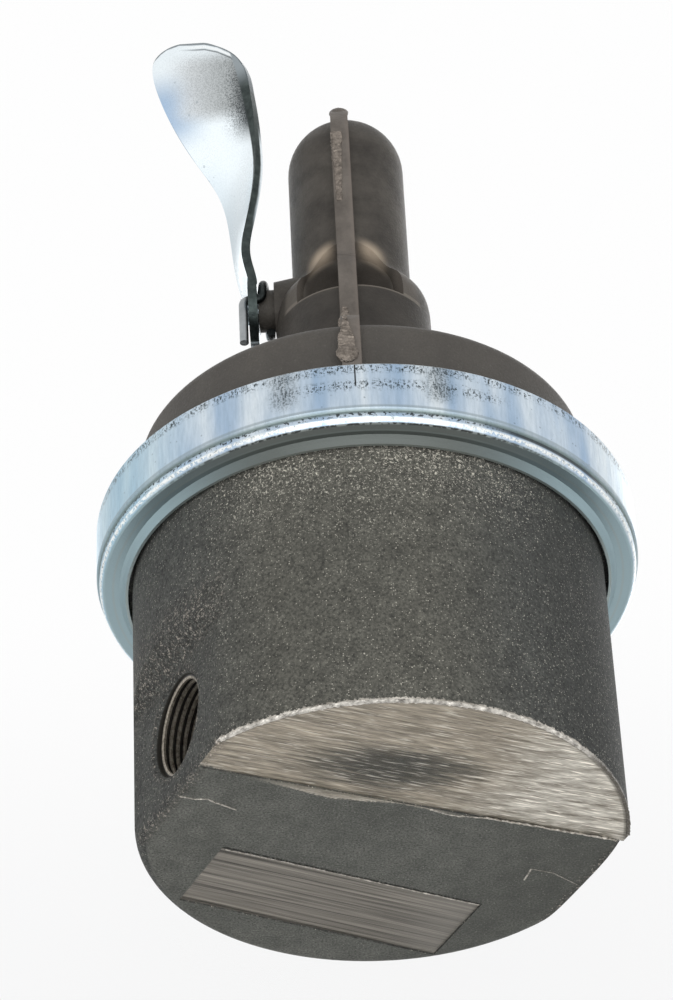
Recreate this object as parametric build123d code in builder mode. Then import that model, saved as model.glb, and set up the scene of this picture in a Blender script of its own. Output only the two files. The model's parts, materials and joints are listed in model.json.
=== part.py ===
from build123d import *
import os
from math import cos, sin, radians

# Mechanical diaphragm fuel pump for a marine engine. Millimetres.
# The pump stands on the flat end of its barrel: Z runs up the pump's axis, the mounting flange
# and the rocker arm are on the +Y side, and the hand primer lever is on the -X side.

# Clearances
RUN_FIT = 0.05
SEAT_FIT = 0.02
CRIMP_FIT = 0.1
BEARING_FIT = 2 * RUN_FIT
FORK_FIT = 0.4
RETAINER_FIT = 0.5

# Barrel casting
BARREL_R = 32.5
BARREL_EDGE = 3.0
BARREL_WALL = 5.5
SEAM_Z = 45.0
CLAMP_WIDTH = 3.8
LOWER_RIM = 2.8
CHAMBER_TAPER = 4.0
CHAMBER_DEPTH = 5.0
FLAT_AZIMUTH = 28.0
FLAT_CUT = 2.9
FLAT_TOP = 19.5
FLAT_RUN_OUT = 4.0
GROUND_DEPTH = 0.25
GROUND_SIZE = (38.3, 14.0)
GROUND_CENTRE = (0.2, 16.2)
GATE_AZIMUTH = -66.8
GATE_DISTANCE = 9.4

# Fuel ports and valve pockets
PORT_R = 6.85
PORT_Z = 11.0
PORT_DEPTH = 18.0
PORT_CHAMFER = 0.6
VALVE_OFFSET = 13.0
POCKET_R = 8.0
POCKET_Z = 26.0
PASSAGE_R = 4.5

# Valves
GASKET = 1.0
CAGE_LENGTH = 9.5
CAGE_WALL = 1.0
SEAT_THICKNESS = 1.5
SEAT_BORE = 3.6
BRIDGE = 1.2
BRIDGE_WIDTH = 3.0
VALVE_DISC_R = 5.2
VALVE_DISC = 1.0
VALVE_SPRING_R = 2.6
VALVE_WIRE_R = 0.3
VALVE_TURNS = 3

# Diaphragm and its washers
DIAPHRAGM = 1.6
WASHER = 1.2
WASHER_LIP = 1.2
FOLD_WIDTH = 4.5
FOLD_MARGIN = 3.5
FOLD_HEIGHT = 1.8

# Upper casting
UPPER_RIM = 3.4
DOME_STEP = 1.1
DOME_EDGE = 2.0
DOME_TOP = 63.4
DOME_CROWN = 65.0
DOME_WALL = 3.4
CAVITY_TOP = 59.0
CAVITY_EDGE = 5.0
COLLAR_R = 11.2
COLLAR_FOOT = 3.0
COLLAR_TOP = 87.0
SHOULDER_TOP = 95.0
SHOULDER_BULGE = 0.4
SHOULDER_RISE = 1.1
TOWER_R = 8.6
TOWER_TOP = 126.5
RIB_X = -0.5
RIB_WIDTH = 2.6
RIB_HEIGHT = 1.4
SCOOP_WIDTH = 13.0
SCOOP_DEPTH = 2.0
SCOOP_TOP = 96.0
SCOOP_FLARE = 38.0

# Flange and neck
FLANGE_Y = 40.0
FLANGE = 7.0
FLANGE_Z = 74.0
EAR_INSET = 9.3
BOLT_R = 4.2
EAR_R = 9.0
NECK_WIDTH = 26.0
NECK_BOTTOM = 60.0
NECK_TOP = 88.0
NECK_CORNER = 9.0
FLANGE_CORNER = 6.0

# Rocker chamber, arm and pin
ROOM_WIDTH = 18.0
ROOM_FLOOR = 67.0
ROOM_CEILING = 84.0
PIVOT_Y = 22.0
PIVOT_Z = 74.0
PIN_R = 4.0
PLUG_R = 5.2
PLUG = 2.0
HUB_R = 6.6
HUB_WIDTH = 17.4
NOSE_R = 3.0
FORK_WIDTH = 11.0
ARM_WIDTH = 8.0
PAD_Y = 78.0
PAD_Z = 83.0
PAD_LENGTH = 15.0
PAD_R = 22.0
PAD_THICKNESS = 5.0
PAD_WIDTH = 11.0
PAD_FACE_DROP = 1.5
PAD_END_SLOPE = 0.5
ARM_TOP_DROP = 1.0
ARM_WAIST = 0.4
ARM_BELLY = 0.8
HUB_STEP = 1.0
SEAT_LENGTH = 4.0

# Pull rod, seal and the spring in the tower
ROD_R = 2.5
ROD_HEAD_R = 5.0
ROD_HEAD = 1.6
COLLAR_WASHER_R = 4.7
COLLAR_WASHER = 1.8
CAP_R = 5.0
CAP = 1.5
CAP_STUB_R = 2.9
CAP_CHAMFER = 0.6
EDGE_CHAMFER = 0.4
BORE_R = 5.3
BORE_TOP = 121.0
MAIN_WIRE_R = 0.7
MAIN_TURNS = 6
SEAL_R = 6.0
SEAL_HEIGHT = 3.4
SEAL_LIP = 1.4
RETAINER = 0.8

# Rocker return spring
RETURN_Y = 11.0
RETURN_R = 2.6
RETURN_WIRE_R = 0.45
RETURN_TURNS = 3
RETURN_POCKET = 2.0

# Hand primer
PRIMER_Z = 92.4
SHAFT_R = 2.0
SHAFT_FLAT = 0.6
SHAFT_STUB = 1.2
SHAFT_TIP_GAP = 0.5
BOSS_R = 3.1
BOSS_ROOT_R = 5.1
BOSS_SHOULDER_R = 4.2
BOSS_END = 13.7
BOSS_ROOT = 6.0
GROOVE_X = 9.0
GROOVE_WIDTH = 1.4
GROOVE_R = 1.3
COIL_WIRE_R = 0.65
COIL_TURNS = 0.75
HOOK_LENGTH = 8.0
HOOK_BEND = 1.0
HOOK_HOLE_R = 0.95
LEVER_SHEET = 1.3
LEVER_EYE_R = 5.5
LEVER_TIP = 6.5
LEVER_TIP_ANGLES = (25, 45, 62, 76)
# Rungs of the lever's blade, from the eye to the tip: x, y and height above the shaft of its edge
# towards -Y, then of its edge towards +Y.
LEVER_RUNGS = [
    ((0.0, -5.5, 0.0), (0.0, 5.5, 0.0)),
    ((0.0, -5.4, 2.5), (0.0, 5.5, 2.5)),
    ((-0.7, -5.2, 7.0), (-1.2, 5.3, 7.0)),
    ((-0.1, -4.9, 12.6), (-2.2, 5.1, 12.6)),
    ((1.0, -4.8, 18.6), (-2.8, 4.9, 19.1)),
    ((1.7, -4.9, 24.6), (-4.3, 4.5, 26.6)),
    ((1.7, -5.1, 30.1), (-8.1, 3.6, 33.6)),
    ((1.4, -5.3, 35.6), (-11.5, 2.6, 40.6)),
    ((1.0, -5.4, 39.6), (-13.2, 2.1, 45.6)),
    ((0.5, -5.4, 43.1), (-14.1, 1.9, 50.1)),
]

# Crimp ring
RING_SHEET = 1.0
RING_GROOVE = 0.35
RING_GROOVE_Z = (1.1, 0.75, 0.35)
RING_BEAD = 1.1
RING_FACE_DROP = 1.2
RING_LIP_GAP = 0.6
RING_LIP_RISE = 0.4
RING_LIP_WIDTH = 0.4
RING_LIP = 1.0
RING_BACK_GAP = 1.8

# Heights and places that follow from the sizes above
CLAMP_R = BARREL_R + CLAMP_WIDTH
CHAMBER_R = BARREL_R - BARREL_WALL
FLAT_DISTANCE = BARREL_R - FLAT_CUT
DOME_R = BARREL_R - DOME_STEP
FOLD_R = CHAMBER_R - FOLD_MARGIN
WASHER_R = FOLD_R - FOLD_WIDTH
BOLT_SPACING = 2 * (CLAMP_R - EAR_INSET)
DIAPHRAGM_TOP = SEAM_Z + DIAPHRAGM
UPPER_RIM_TOP = DIAPHRAGM_TOP + UPPER_RIM
CHAMBER_FLOOR = SEAM_Z - CHAMBER_DEPTH
WASHER_BOTTOM = SEAM_Z - WASHER
COLLAR_WASHER_Z = PIVOT_Z + NOSE_R + BEARING_FIT
CAP_Z = PRIMER_Z + SHAFT_R + RUN_FIT
ROD_TOP = CAP_Z + CAP
COIL_PITCH = 2 * COIL_WIRE_R + RUN_FIT
COIL_LENGTH = COIL_TURNS * COIL_PITCH
BOSS_SHOULDER = BOSS_END - COIL_LENGTH - 2 * COIL_WIRE_R - RUN_FIT
LEVER_X = -(BOSS_END + BEARING_FIT + LEVER_SHEET / 2)


def turned(azimuth):
    """Horizontal unit vector at an azimuth from +X."""
    return Vector(cos(radians(azimuth)), sin(radians(azimuth)), 0)


def port_plane(azimuth):
    """Plane on a flat of the barrel at the port's height, facing outward."""
    out = turned(azimuth)
    centre = out * FLAT_DISTANCE + Vector(0, 0, PORT_Z)
    return Plane(origin=centre, x_dir=out.cross(Vector(0, 0, 1)), z_dir=out)


def coil_spring(plane, length, mean_r, wire_r, turns):
    """Compression spring whose wire lies between the plane and a length above it."""
    rise = length - 2 * wire_r
    with BuildPart() as spring:
        with BuildLine() as path:
            Helix(
                pitch=rise / turns,
                height=rise,
                radius=mean_r,
                center=plane.offset(wire_r).origin,
                direction=plane.z_dir,
            )
        with BuildSketch(Plane(origin=path.line @ 0, z_dir=path.line % 0)):
            Circle(wire_r)
        sweep(path=path.line, is_frenet=True)
    return spring.part


INLET = FLAT_AZIMUTH + 180
OUTLET = FLAT_AZIMUTH
inlet_centre = turned(INLET) * VALVE_OFFSET
outlet_centre = turned(OUTLET) * VALVE_OFFSET

# Lower body: barrel with two flats, two tapped ports, two valve pockets and the pump chamber
with BuildPart() as lower_body:
    with BuildSketch():
        Circle(BARREL_R)
    extrude(amount=SEAM_Z)
    fillet(lower_body.faces().sort_by(Axis.Z)[0].edges(), BARREL_EDGE)
    # Square rim where the casting's gate stood, ground down to a shallow crescent
    with BuildSketch() as gate:
        Circle(BARREL_R)
        with Locations(Location(turned(GATE_AZIMUTH) * (GATE_DISTANCE - 2 * BARREL_R), (0, 0, GATE_AZIMUTH))):
            Rectangle(4 * BARREL_R, 4 * BARREL_R, mode=Mode.SUBTRACT)
    extrude(amount=BARREL_EDGE)
    add(gate.sketch)
    extrude(amount=GROUND_DEPTH, mode=Mode.SUBTRACT)
    with BuildSketch(Plane.XY.offset(SEAM_Z - LOWER_RIM)):
        Circle(CLAMP_R)
    extrude(amount=LOWER_RIM)
    for azimuth in (INLET, OUTLET):
        out = turned(azimuth)
        with BuildSketch(Plane(origin=(0, 0, 0), x_dir=out, z_dir=out.cross(Vector(0, 0, 1)))):
            with BuildLine():
                Polyline(
                    (FLAT_DISTANCE, -BARREL_EDGE),
                    (FLAT_DISTANCE, FLAT_TOP),
                    (FLAT_DISTANCE + FLAT_RUN_OUT, FLAT_TOP + FLAT_RUN_OUT),
                    (FLAT_DISTANCE + FLAT_RUN_OUT, -BARREL_EDGE),
                    close=True,
                )
            make_face()
        extrude(amount=BARREL_R, both=True, mode=Mode.SUBTRACT)
    # Shallow ground rectangle on the end face
    with BuildSketch(Plane(origin=(0, 0, 0), x_dir=turned(FLAT_AZIMUTH), z_dir=(0, 0, -1))):
        with Locations((GROUND_CENTRE[0], -GROUND_CENTRE[1])):
            Rectangle(*GROUND_SIZE)
    extrude(amount=-GROUND_DEPTH, mode=Mode.SUBTRACT)
    # Pump chamber, narrowing to its floor
    with BuildSketch(Plane.XY.offset(SEAM_Z)):
        Circle(CHAMBER_R)
    with BuildSketch(Plane.XY.offset(CHAMBER_FLOOR)):
        Circle(CHAMBER_R - CHAMBER_TAPER)
    loft(mode=Mode.SUBTRACT)
    for azimuth, centre in ((INLET, inlet_centre), (OUTLET, outlet_centre)):
        with BuildSketch(Plane(origin=centre + Vector(0, 0, CHAMBER_FLOOR), z_dir=(0, 0, -1))):
            Circle(POCKET_R)
        extrude(amount=CHAMBER_FLOOR - POCKET_Z, mode=Mode.SUBTRACT)
        with BuildSketch(Plane(origin=centre + Vector(0, 0, POCKET_Z), z_dir=(0, 0, -1))):
            Circle(PASSAGE_R)
        extrude(amount=POCKET_Z - PORT_Z, mode=Mode.SUBTRACT)
        with BuildSketch(port_plane(azimuth)):
            Circle(PORT_R)
        extrude(amount=-PORT_DEPTH, mode=Mode.SUBTRACT)
        with BuildSketch(port_plane(azimuth)):
            Circle(PORT_R + PORT_CHAMFER)
        extrude(amount=-PORT_CHAMFER, taper=45, mode=Mode.SUBTRACT)
lower_body.part.label = "lower_body"

# Crimp ring: sheet rolled over the rims of both castings, with a step, a bead and an inner lip
ring_r = CLAMP_R + CRIMP_FIT
ring_front = SEAM_Z - LOWER_RIM
band_r = ring_r + RING_SHEET
lip_r = BARREL_R + RING_LIP_GAP
back_r = DOME_R + RING_BACK_GAP
groove_r = band_r - RING_GROOVE
bead_foot = (band_r - RING_BEAD, ring_front - RING_SHEET)
face_end = (lip_r + RING_FACE_DROP, ring_front - RING_SHEET)
lip_z = ring_front - RING_SHEET - RING_LIP
groove_start, groove_top, groove_end = (ring_front + height for height in RING_GROOVE_Z)
with BuildPart() as crimp_ring:
    with BuildSketch(Plane.XZ):
        with BuildLine():
            Polyline(
                (band_r, UPPER_RIM_TOP + RING_SHEET / 2),
                (band_r, groove_start),
                (groove_r, groove_top),
                (groove_r, groove_end),
            )
            ThreePointArc(
                (groove_r, groove_end),
                (groove_r - RING_GROOVE / 2, ring_front - RING_SHEET / 2),
                bead_foot,
            )
            Polyline(
                bead_foot,
                face_end,
                (lip_r + 2 * RING_LIP_WIDTH, face_end[1] - RING_LIP_RISE),
                (lip_r + RING_LIP_WIDTH, lip_z),
                (lip_r, lip_z),
                (lip_r, ring_front - RING_SHEET),
                (lip_r + RING_FACE_DROP, ring_front),
                (ring_r, ring_front),
                (ring_r, UPPER_RIM_TOP),
                (back_r, UPPER_RIM_TOP),
                (back_r, UPPER_RIM_TOP + RING_SHEET),
                (ring_r + RING_SHEET / 2, UPPER_RIM_TOP + RING_SHEET),
                (band_r, UPPER_RIM_TOP + RING_SHEET / 2),
            )
        make_face()
    revolve(axis=Axis.Z)
crimp_ring.part.label = "crimp_ring"

# Diaphragm: clamped between the castings, with one fold outside its washers
with BuildPart() as diaphragm:
    with BuildSketch(Plane.XZ):
        with BuildLine():
            Polyline(
                (ROD_R + RUN_FIT, SEAM_Z),
                (FOLD_R - FOLD_HEIGHT, SEAM_Z),
                (FOLD_R, SEAM_Z + FOLD_HEIGHT),
                (FOLD_R + FOLD_HEIGHT, SEAM_Z),
                (CLAMP_R, SEAM_Z),
                (CLAMP_R, DIAPHRAGM_TOP),
                (FOLD_R + FOLD_HEIGHT, DIAPHRAGM_TOP),
                (FOLD_R, DIAPHRAGM_TOP + FOLD_HEIGHT),
                (FOLD_R - FOLD_HEIGHT, DIAPHRAGM_TOP),
                (ROD_R + RUN_FIT, DIAPHRAGM_TOP),
                close=True,
            )
        make_face()
    revolve(axis=Axis.Z)
diaphragm.part.label = "diaphragm"


def protector_washer(face_z, away):
    """Dished washer against one face of the diaphragm; away is +1 above it and -1 below it."""
    with BuildPart() as washer:
        with BuildSketch(Plane.XZ):
            with BuildLine():
                Polyline(
                    (ROD_R + RUN_FIT, face_z),
                    (WASHER_R, face_z),
                    (WASHER_R + WASHER_LIP, face_z + away * WASHER_LIP),
                    (WASHER_R + WASHER_LIP - WASHER, face_z + away * (WASHER_LIP + WASHER / 2)),
                    (WASHER_R - WASHER, face_z + away * WASHER),
                    (ROD_R + RUN_FIT, face_z + away * WASHER),
                    close=True,
                )
            make_face()
        revolve(axis=Axis.Z)
    return washer.part


upper_washer = protector_washer(DIAPHRAGM_TOP, 1)
upper_washer.label = "upper_washer"
lower_washer = protector_washer(SEAM_Z, -1)
lower_washer.label = "lower_washer"

# Pull rod: riveted head under the lower washer, stem up to the cap in the tower
with BuildPart() as pull_rod:
    with BuildSketch(Plane.XY.offset(WASHER_BOTTOM - ROD_HEAD)):
        Circle(ROD_HEAD_R)
    extrude(amount=ROD_HEAD)
    fillet(pull_rod.faces().sort_by(Axis.Z)[0].edges(), ROD_HEAD / 2)
    with BuildSketch(Plane.XY.offset(WASHER_BOTTOM)):
        Circle(ROD_R)
    extrude(amount=ROD_TOP - WASHER_BOTTOM)
pull_rod.part.label = "pull_rod"

# Lift collar: pressed on the rod above the rocker's fork
with BuildPart() as lift_collar:
    with BuildSketch(Plane.XY.offset(COLLAR_WASHER_Z)):
        Circle(COLLAR_WASHER_R)
        Circle(ROD_R, mode=Mode.SUBTRACT)
    extrude(amount=COLLAR_WASHER)
    chamfer(lift_collar.faces().sort_by(Axis.Z)[-1].edges().sort_by(SortBy.RADIUS)[-1], EDGE_CHAMFER)
lift_collar.part.label = "lift_collar"

# Spring cap: flange at the rod's top, with a stub that centres the spring
with BuildPart() as spring_cap:
    with BuildSketch(Plane.XY.offset(CAP_Z)):
        Circle(CAP_R)
        Circle(ROD_R, mode=Mode.SUBTRACT)
    extrude(amount=CAP)
    with BuildSketch(Plane.XY.offset(ROD_TOP)):
        Circle(CAP_STUB_R)
    extrude(amount=2 * CAP)
    chamfer(spring_cap.faces().sort_by(Axis.Z)[-1].edges(), CAP_CHAMFER)
spring_cap.part.label = "spring_cap"

# Diaphragm spring: compressed between the cap and the blind end of the tower
diaphragm_spring = coil_spring(
    Plane.XY.offset(ROD_TOP),
    BORE_TOP - ROD_TOP,
    BORE_R - BEARING_FIT - 2 * MAIN_WIRE_R,
    MAIN_WIRE_R,
    MAIN_TURNS,
)
diaphragm_spring.label = "diaphragm_spring"


def silhouette(grow):
    """Half outline of the dome, collar and tower, turned about the axis and grown outward."""
    tower = TOWER_R + grow
    collar = COLLAR_R + grow
    dome = DOME_R + grow
    edge = DOME_EDGE + grow
    crown = DOME_CROWN + grow
    Polyline((0, DIAPHRAGM_TOP), (dome, DIAPHRAGM_TOP), (dome, DOME_TOP - DOME_EDGE))
    RadiusArc((dome, DOME_TOP - DOME_EDGE), (dome - edge, DOME_TOP + grow), -edge)
    Line((dome - edge, DOME_TOP + grow), (collar + COLLAR_FOOT, crown))
    RadiusArc((collar + COLLAR_FOOT, crown), (collar, crown + COLLAR_FOOT), COLLAR_FOOT)
    Line((collar, crown + COLLAR_FOOT), (collar, COLLAR_TOP))
    Spline(
        (collar, COLLAR_TOP),
        ((collar + tower) / 2 + SHOULDER_BULGE, (COLLAR_TOP + SHOULDER_TOP) / 2 + SHOULDER_RISE),
        (tower, SHOULDER_TOP),
        tangents=((0, 1), (0, 1)),
    )
    Line((tower, SHOULDER_TOP), (tower, TOWER_TOP - TOWER_R))
    RadiusArc((tower, TOWER_TOP - TOWER_R), (0, TOWER_TOP + grow), -tower)
    Line((0, TOWER_TOP + grow), (0, DIAPHRAGM_TOP))


# Parting-line rib down the -Y side of the tower, the collar and the dome
with BuildPart() as parting_rib:
    with BuildSketch(Plane.YZ.rotated((0, 0, 180)).offset(-RIB_X)):
        with BuildLine():
            silhouette(RIB_HEIGHT)
        make_face()
    extrude(amount=RIB_WIDTH / 2, both=True)
    split(bisect_by=Plane.XY.offset(UPPER_RIM_TOP + RING_SHEET + CRIMP_FIT), keep=Keep.TOP)

# Scoop in the front of the tower above the collar: arched, with flared sides and a flat floor
with BuildPart() as scoop:
    with BuildSketch(Plane.XZ.offset(TOWER_R - SCOOP_DEPTH)):
        with Locations((RIB_X, (SCOOP_TOP + COLLAR_TOP) / 2 - SCOOP_WIDTH / 4)):
            Rectangle(SCOOP_WIDTH, SCOOP_TOP - COLLAR_TOP - SCOOP_WIDTH / 2)
        with Locations((RIB_X, SCOOP_TOP - SCOOP_WIDTH / 2)):
            Circle(SCOOP_WIDTH / 2)
    extrude(amount=COLLAR_R, taper=-SCOOP_FLARE)
    split(bisect_by=Plane.XY.offset(COLLAR_TOP), keep=Keep.TOP)

# Upper body: dome, collar and round-topped tower, with the neck and flange behind
with BuildPart() as upper_body:
    with BuildSketch(Plane.XZ):
        with BuildLine():
            silhouette(0)
        make_face()
    revolve(axis=Axis.Z)
    with BuildSketch(Plane.XY.offset(DIAPHRAGM_TOP)):
        Circle(CLAMP_R)
    extrude(amount=UPPER_RIM)
    add(scoop.part, mode=Mode.SUBTRACT)
    add(parting_rib.part)
    # Air space over the diaphragm
    with BuildSketch(Plane.XZ):
        with BuildLine():
            Polyline(
                (0, DIAPHRAGM_TOP),
                (DOME_R - DOME_WALL, DIAPHRAGM_TOP),
                (DOME_R - DOME_WALL, CAVITY_TOP - CAVITY_EDGE),
                (DOME_R - DOME_WALL - CAVITY_EDGE, CAVITY_TOP),
                (0, CAVITY_TOP),
                close=True,
            )
        make_face()
    revolve(axis=Axis.Z, mode=Mode.SUBTRACT)
    # Neck and flange
    with BuildSketch(Plane.XZ.offset(-FLANGE_Y)):
        with Locations((0, (NECK_TOP + NECK_BOTTOM) / 2)):
            RectangleRounded(NECK_WIDTH, NECK_TOP - NECK_BOTTOM, NECK_CORNER)
    extrude(amount=FLANGE_Y - COLLAR_R / 2)
    with BuildSketch(Plane.XZ.offset(-FLANGE_Y)):
        with Locations((0, FLANGE_Z)):
            SlotCenterToCenter(BOLT_SPACING, 2 * EAR_R)
            RectangleRounded(NECK_WIDTH + FLANGE, NECK_TOP - NECK_BOTTOM, FLANGE_CORNER)
    extrude(amount=FLANGE)
    # Primer boss on the -X side
    with BuildSketch(Plane.YZ.offset(-BOSS_ROOT)):
        with Locations((0, PRIMER_Z)):
            Circle(BOSS_ROOT_R)
    with BuildSketch(Plane.YZ.offset(-BOSS_SHOULDER)):
        with Locations((0, PRIMER_Z)):
            Circle(BOSS_SHOULDER_R)
    loft()
    with BuildSketch(Plane.YZ.offset(-BOSS_SHOULDER)):
        with Locations((0, PRIMER_Z)):
            Circle(BOSS_R)
    extrude(amount=BOSS_SHOULDER - BOSS_END)
    # Seal pocket and rod bore
    with BuildSketch(Plane.XY.offset(CAVITY_TOP)):
        Circle(SEAL_R)
    extrude(amount=SEAL_HEIGHT + RETAINER, mode=Mode.SUBTRACT)
    with BuildSketch(Plane.XY.offset(CAVITY_TOP)):
        Circle(ROD_R + RUN_FIT)
    extrude(amount=ROOM_FLOOR - CAVITY_TOP, mode=Mode.SUBTRACT)
    # Rocker chamber, open through the flange
    with BuildSketch(Plane.XY.offset(ROOM_FLOOR)):
        Circle(ROOM_WIDTH / 2)
        with Locations((0, FLANGE_Y / 2)):
            Rectangle(ROOM_WIDTH, FLANGE_Y)
    extrude(amount=ROOM_CEILING - ROOM_FLOOR, mode=Mode.SUBTRACT)
    # Spring bore of the tower
    with BuildSketch(Plane.XY.offset(ROOM_CEILING)):
        Circle(BORE_R)
    extrude(amount=BORE_TOP - ROOM_CEILING, mode=Mode.SUBTRACT)
    # Pocket for the rocker's return spring
    with BuildSketch(Plane.XY.offset(ROOM_CEILING)):
        with Locations((0, RETURN_Y)):
            Circle(RETURN_R + RETURN_WIRE_R + BEARING_FIT)
    extrude(amount=RETURN_POCKET, mode=Mode.SUBTRACT)
    # Pivot bore with counterbores for its plugs
    with BuildSketch(Plane.YZ):
        with Locations((PIVOT_Y, PIVOT_Z)):
            Circle(PIN_R)
    extrude(amount=NECK_WIDTH, both=True, mode=Mode.SUBTRACT)
    for side in (-1, 1):
        with BuildSketch(Plane.YZ.offset(side * (NECK_WIDTH / 2 - PLUG))):
            with Locations((PIVOT_Y, PIVOT_Z)):
                Circle(PLUG_R)
        extrude(amount=side * PLUG * 2, mode=Mode.SUBTRACT)
    # Primer shaft bore, from the boss into the tower's bore
    with BuildSketch(Plane.YZ.offset(-BOSS_END)):
        with Locations((0, PRIMER_Z)):
            Circle(SHAFT_R + RUN_FIT)
    extrude(amount=BOSS_END - ROD_R, mode=Mode.SUBTRACT)
    # Bolt holes
    with BuildSketch(Plane.XZ.offset(-FLANGE_Y)):
        with Locations((-BOLT_SPACING / 2, FLANGE_Z), (BOLT_SPACING / 2, FLANGE_Z)):
            Circle(BOLT_R)
    extrude(amount=2 * FLANGE, mode=Mode.SUBTRACT)
upper_body.part.label = "upper_body"

# Rod seal: rubber ring with a lip, held up by a pressed cup
with BuildPart() as rod_seal:
    with BuildSketch(Plane.XZ):
        with BuildLine():
            Polyline(
                (ROD_R + RUN_FIT, CAVITY_TOP + RETAINER),
                (SEAL_R - SEAT_FIT, CAVITY_TOP + RETAINER),
                (SEAL_R - SEAT_FIT, CAVITY_TOP + RETAINER + SEAL_HEIGHT),
                (ROD_R + SEAL_LIP, CAVITY_TOP + RETAINER + SEAL_HEIGHT),
                (ROD_R + RUN_FIT, CAVITY_TOP + RETAINER + SEAL_HEIGHT / 2),
                close=True,
            )
        make_face()
    revolve(axis=Axis.Z)
rod_seal.part.label = "rod_seal"

with BuildPart() as seal_retainer:
    with BuildSketch(Plane.XY.offset(CAVITY_TOP)):
        Circle(SEAL_R - SEAT_FIT)
        Circle(ROD_R + RETAINER_FIT, mode=Mode.SUBTRACT)
    extrude(amount=RETAINER)
seal_retainer.part.label = "seal_retainer"

# Rocker arm: forked inner end under the lift collar, hub on the pin, broad curved cam pad outside
pad_bottom = PAD_Z - PAD_THICKNESS
pad_start = PAD_Y - PAD_LENGTH
pad_face = PAD_Z - PAD_FACE_DROP
arm_end = PAD_Y - PAD_LENGTH / 3
arm_top = PAD_Z - ARM_TOP_DROP
with BuildPart() as rocker_arm:
    with BuildSketch(Plane.YZ):
        with Locations((PIVOT_Y, PIVOT_Z)):
            Circle(HUB_R)
    extrude(amount=HUB_WIDTH / 2, both=True)
    with BuildSketch(Plane.YZ):
        with BuildLine():
            Polyline(
                (0, PIVOT_Z - NOSE_R),
                (PIVOT_Y, PIVOT_Z - HUB_R + HUB_STEP),
                (PIVOT_Y, PIVOT_Z + HUB_R - HUB_STEP),
                (RETURN_Y + SEAT_LENGTH, PIVOT_Z + NOSE_R),
                (0, PIVOT_Z + NOSE_R),
                close=True,
            )
        make_face()
        with Locations((0, PIVOT_Z)):
            Circle(NOSE_R)
    extrude(amount=FORK_WIDTH / 2, both=True)
    with BuildSketch(Plane.YZ):
        with BuildLine():
            Spline((PIVOT_Y, PIVOT_Z + HUB_R), (FLANGE_Y, PIVOT_Z + HUB_R - ARM_WAIST), (pad_start, arm_top))
            Line((pad_start, arm_top), (arm_end, arm_top))
            Line((arm_end, arm_top), (arm_end, pad_bottom))
            Spline((arm_end, pad_bottom), (FLANGE_Y, PIVOT_Z - ARM_BELLY), (PIVOT_Y, PIVOT_Z - HUB_R))
            Line((PIVOT_Y, PIVOT_Z - HUB_R), (PIVOT_Y, PIVOT_Z + HUB_R))
        make_face()
    extrude(amount=ARM_WIDTH / 2, both=True)
    with BuildSketch(Plane.YZ):
        with BuildLine():
            RadiusArc((pad_start, pad_face), (PAD_Y, pad_face), PAD_R)
            Line((PAD_Y, pad_face), (PAD_Y - PAD_END_SLOPE, pad_bottom))
            Line((PAD_Y - PAD_END_SLOPE, pad_bottom), (pad_start, pad_bottom))
            Line((pad_start, pad_bottom), (pad_start, pad_face))
        make_face()
    extrude(amount=PAD_WIDTH / 2, both=True)
    with BuildSketch(Plane.YZ):
        with Locations((PIVOT_Y, PIVOT_Z)):
            Circle(PIN_R + RUN_FIT)
    extrude(amount=HUB_WIDTH, both=True, mode=Mode.SUBTRACT)
    # Slot of the fork round the rod
    with BuildSketch(Plane.XY.offset(PIVOT_Z - HUB_R)):
        SlotCenterToCenter(4 * NOSE_R, 2 * (ROD_R + FORK_FIT), rotation=90)
    extrude(amount=2 * HUB_R, mode=Mode.SUBTRACT)
rocker_arm.part.label = "rocker_arm"

# Rocker pin between its two end plugs
with BuildPart() as rocker_pin:
    with BuildSketch(Plane.YZ):
        with Locations((PIVOT_Y, PIVOT_Z)):
            Circle(PIN_R - SEAT_FIT)
    extrude(amount=NECK_WIDTH / 2 - PLUG, both=True)
    chamfer(rocker_pin.faces().sort_by(Axis.X)[0].edges(), EDGE_CHAMFER)
    chamfer(rocker_pin.faces().sort_by(Axis.X)[-1].edges(), EDGE_CHAMFER)
rocker_pin.part.label = "rocker_pin"

with BuildPart() as pin_plugs:
    for side in (-1, 1):
        with BuildSketch(Plane.YZ.offset(side * (NECK_WIDTH / 2 - PLUG))):
            with Locations((PIVOT_Y, PIVOT_Z)):
                Circle(PLUG_R - SEAT_FIT)
        extrude(amount=side * PLUG)
pin_plugs.part.label = "pin_plugs"

# Return spring between the rocker's inner arm and the chamber's ceiling
return_foot = PIVOT_Z + NOSE_R + RUN_FIT
rocker_spring = coil_spring(
    Plane(origin=(0, RETURN_Y, return_foot)),
    ROOM_CEILING + RETURN_POCKET - return_foot,
    RETURN_R,
    RETURN_WIRE_R,
    RETURN_TURNS,
)
rocker_spring.label = "rocker_spring"

# Primer shaft: round, with a half-moon inner end under the spring cap and a ring groove
shaft_tip = ROD_R + SHAFT_TIP_GAP
shaft_end = -LEVER_X + LEVER_SHEET / 2 + SHAFT_STUB
with BuildPart() as primer_shaft:
    with BuildSketch(Plane.YZ.offset(-shaft_end)):
        with Locations((0, PRIMER_Z)):
            Circle(SHAFT_R)
    extrude(amount=shaft_end - shaft_tip)
    with BuildSketch(Plane.YZ.offset(-GROOVE_X - GROOVE_WIDTH / 2)):
        with Locations((0, PRIMER_Z)):
            Circle(SHAFT_R)
            Circle(GROOVE_R, mode=Mode.SUBTRACT)
    extrude(amount=GROOVE_WIDTH, mode=Mode.SUBTRACT)
    with BuildSketch(Plane.YZ.offset(-CAP_R - FORK_FIT)):
        with Locations((0, PRIMER_Z + SHAFT_FLAT + SHAFT_R)):
            Rectangle(4 * SHAFT_R, 2 * SHAFT_R)
    extrude(amount=CAP_R, mode=Mode.SUBTRACT)
primer_shaft.part.label = "primer_shaft"

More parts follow.
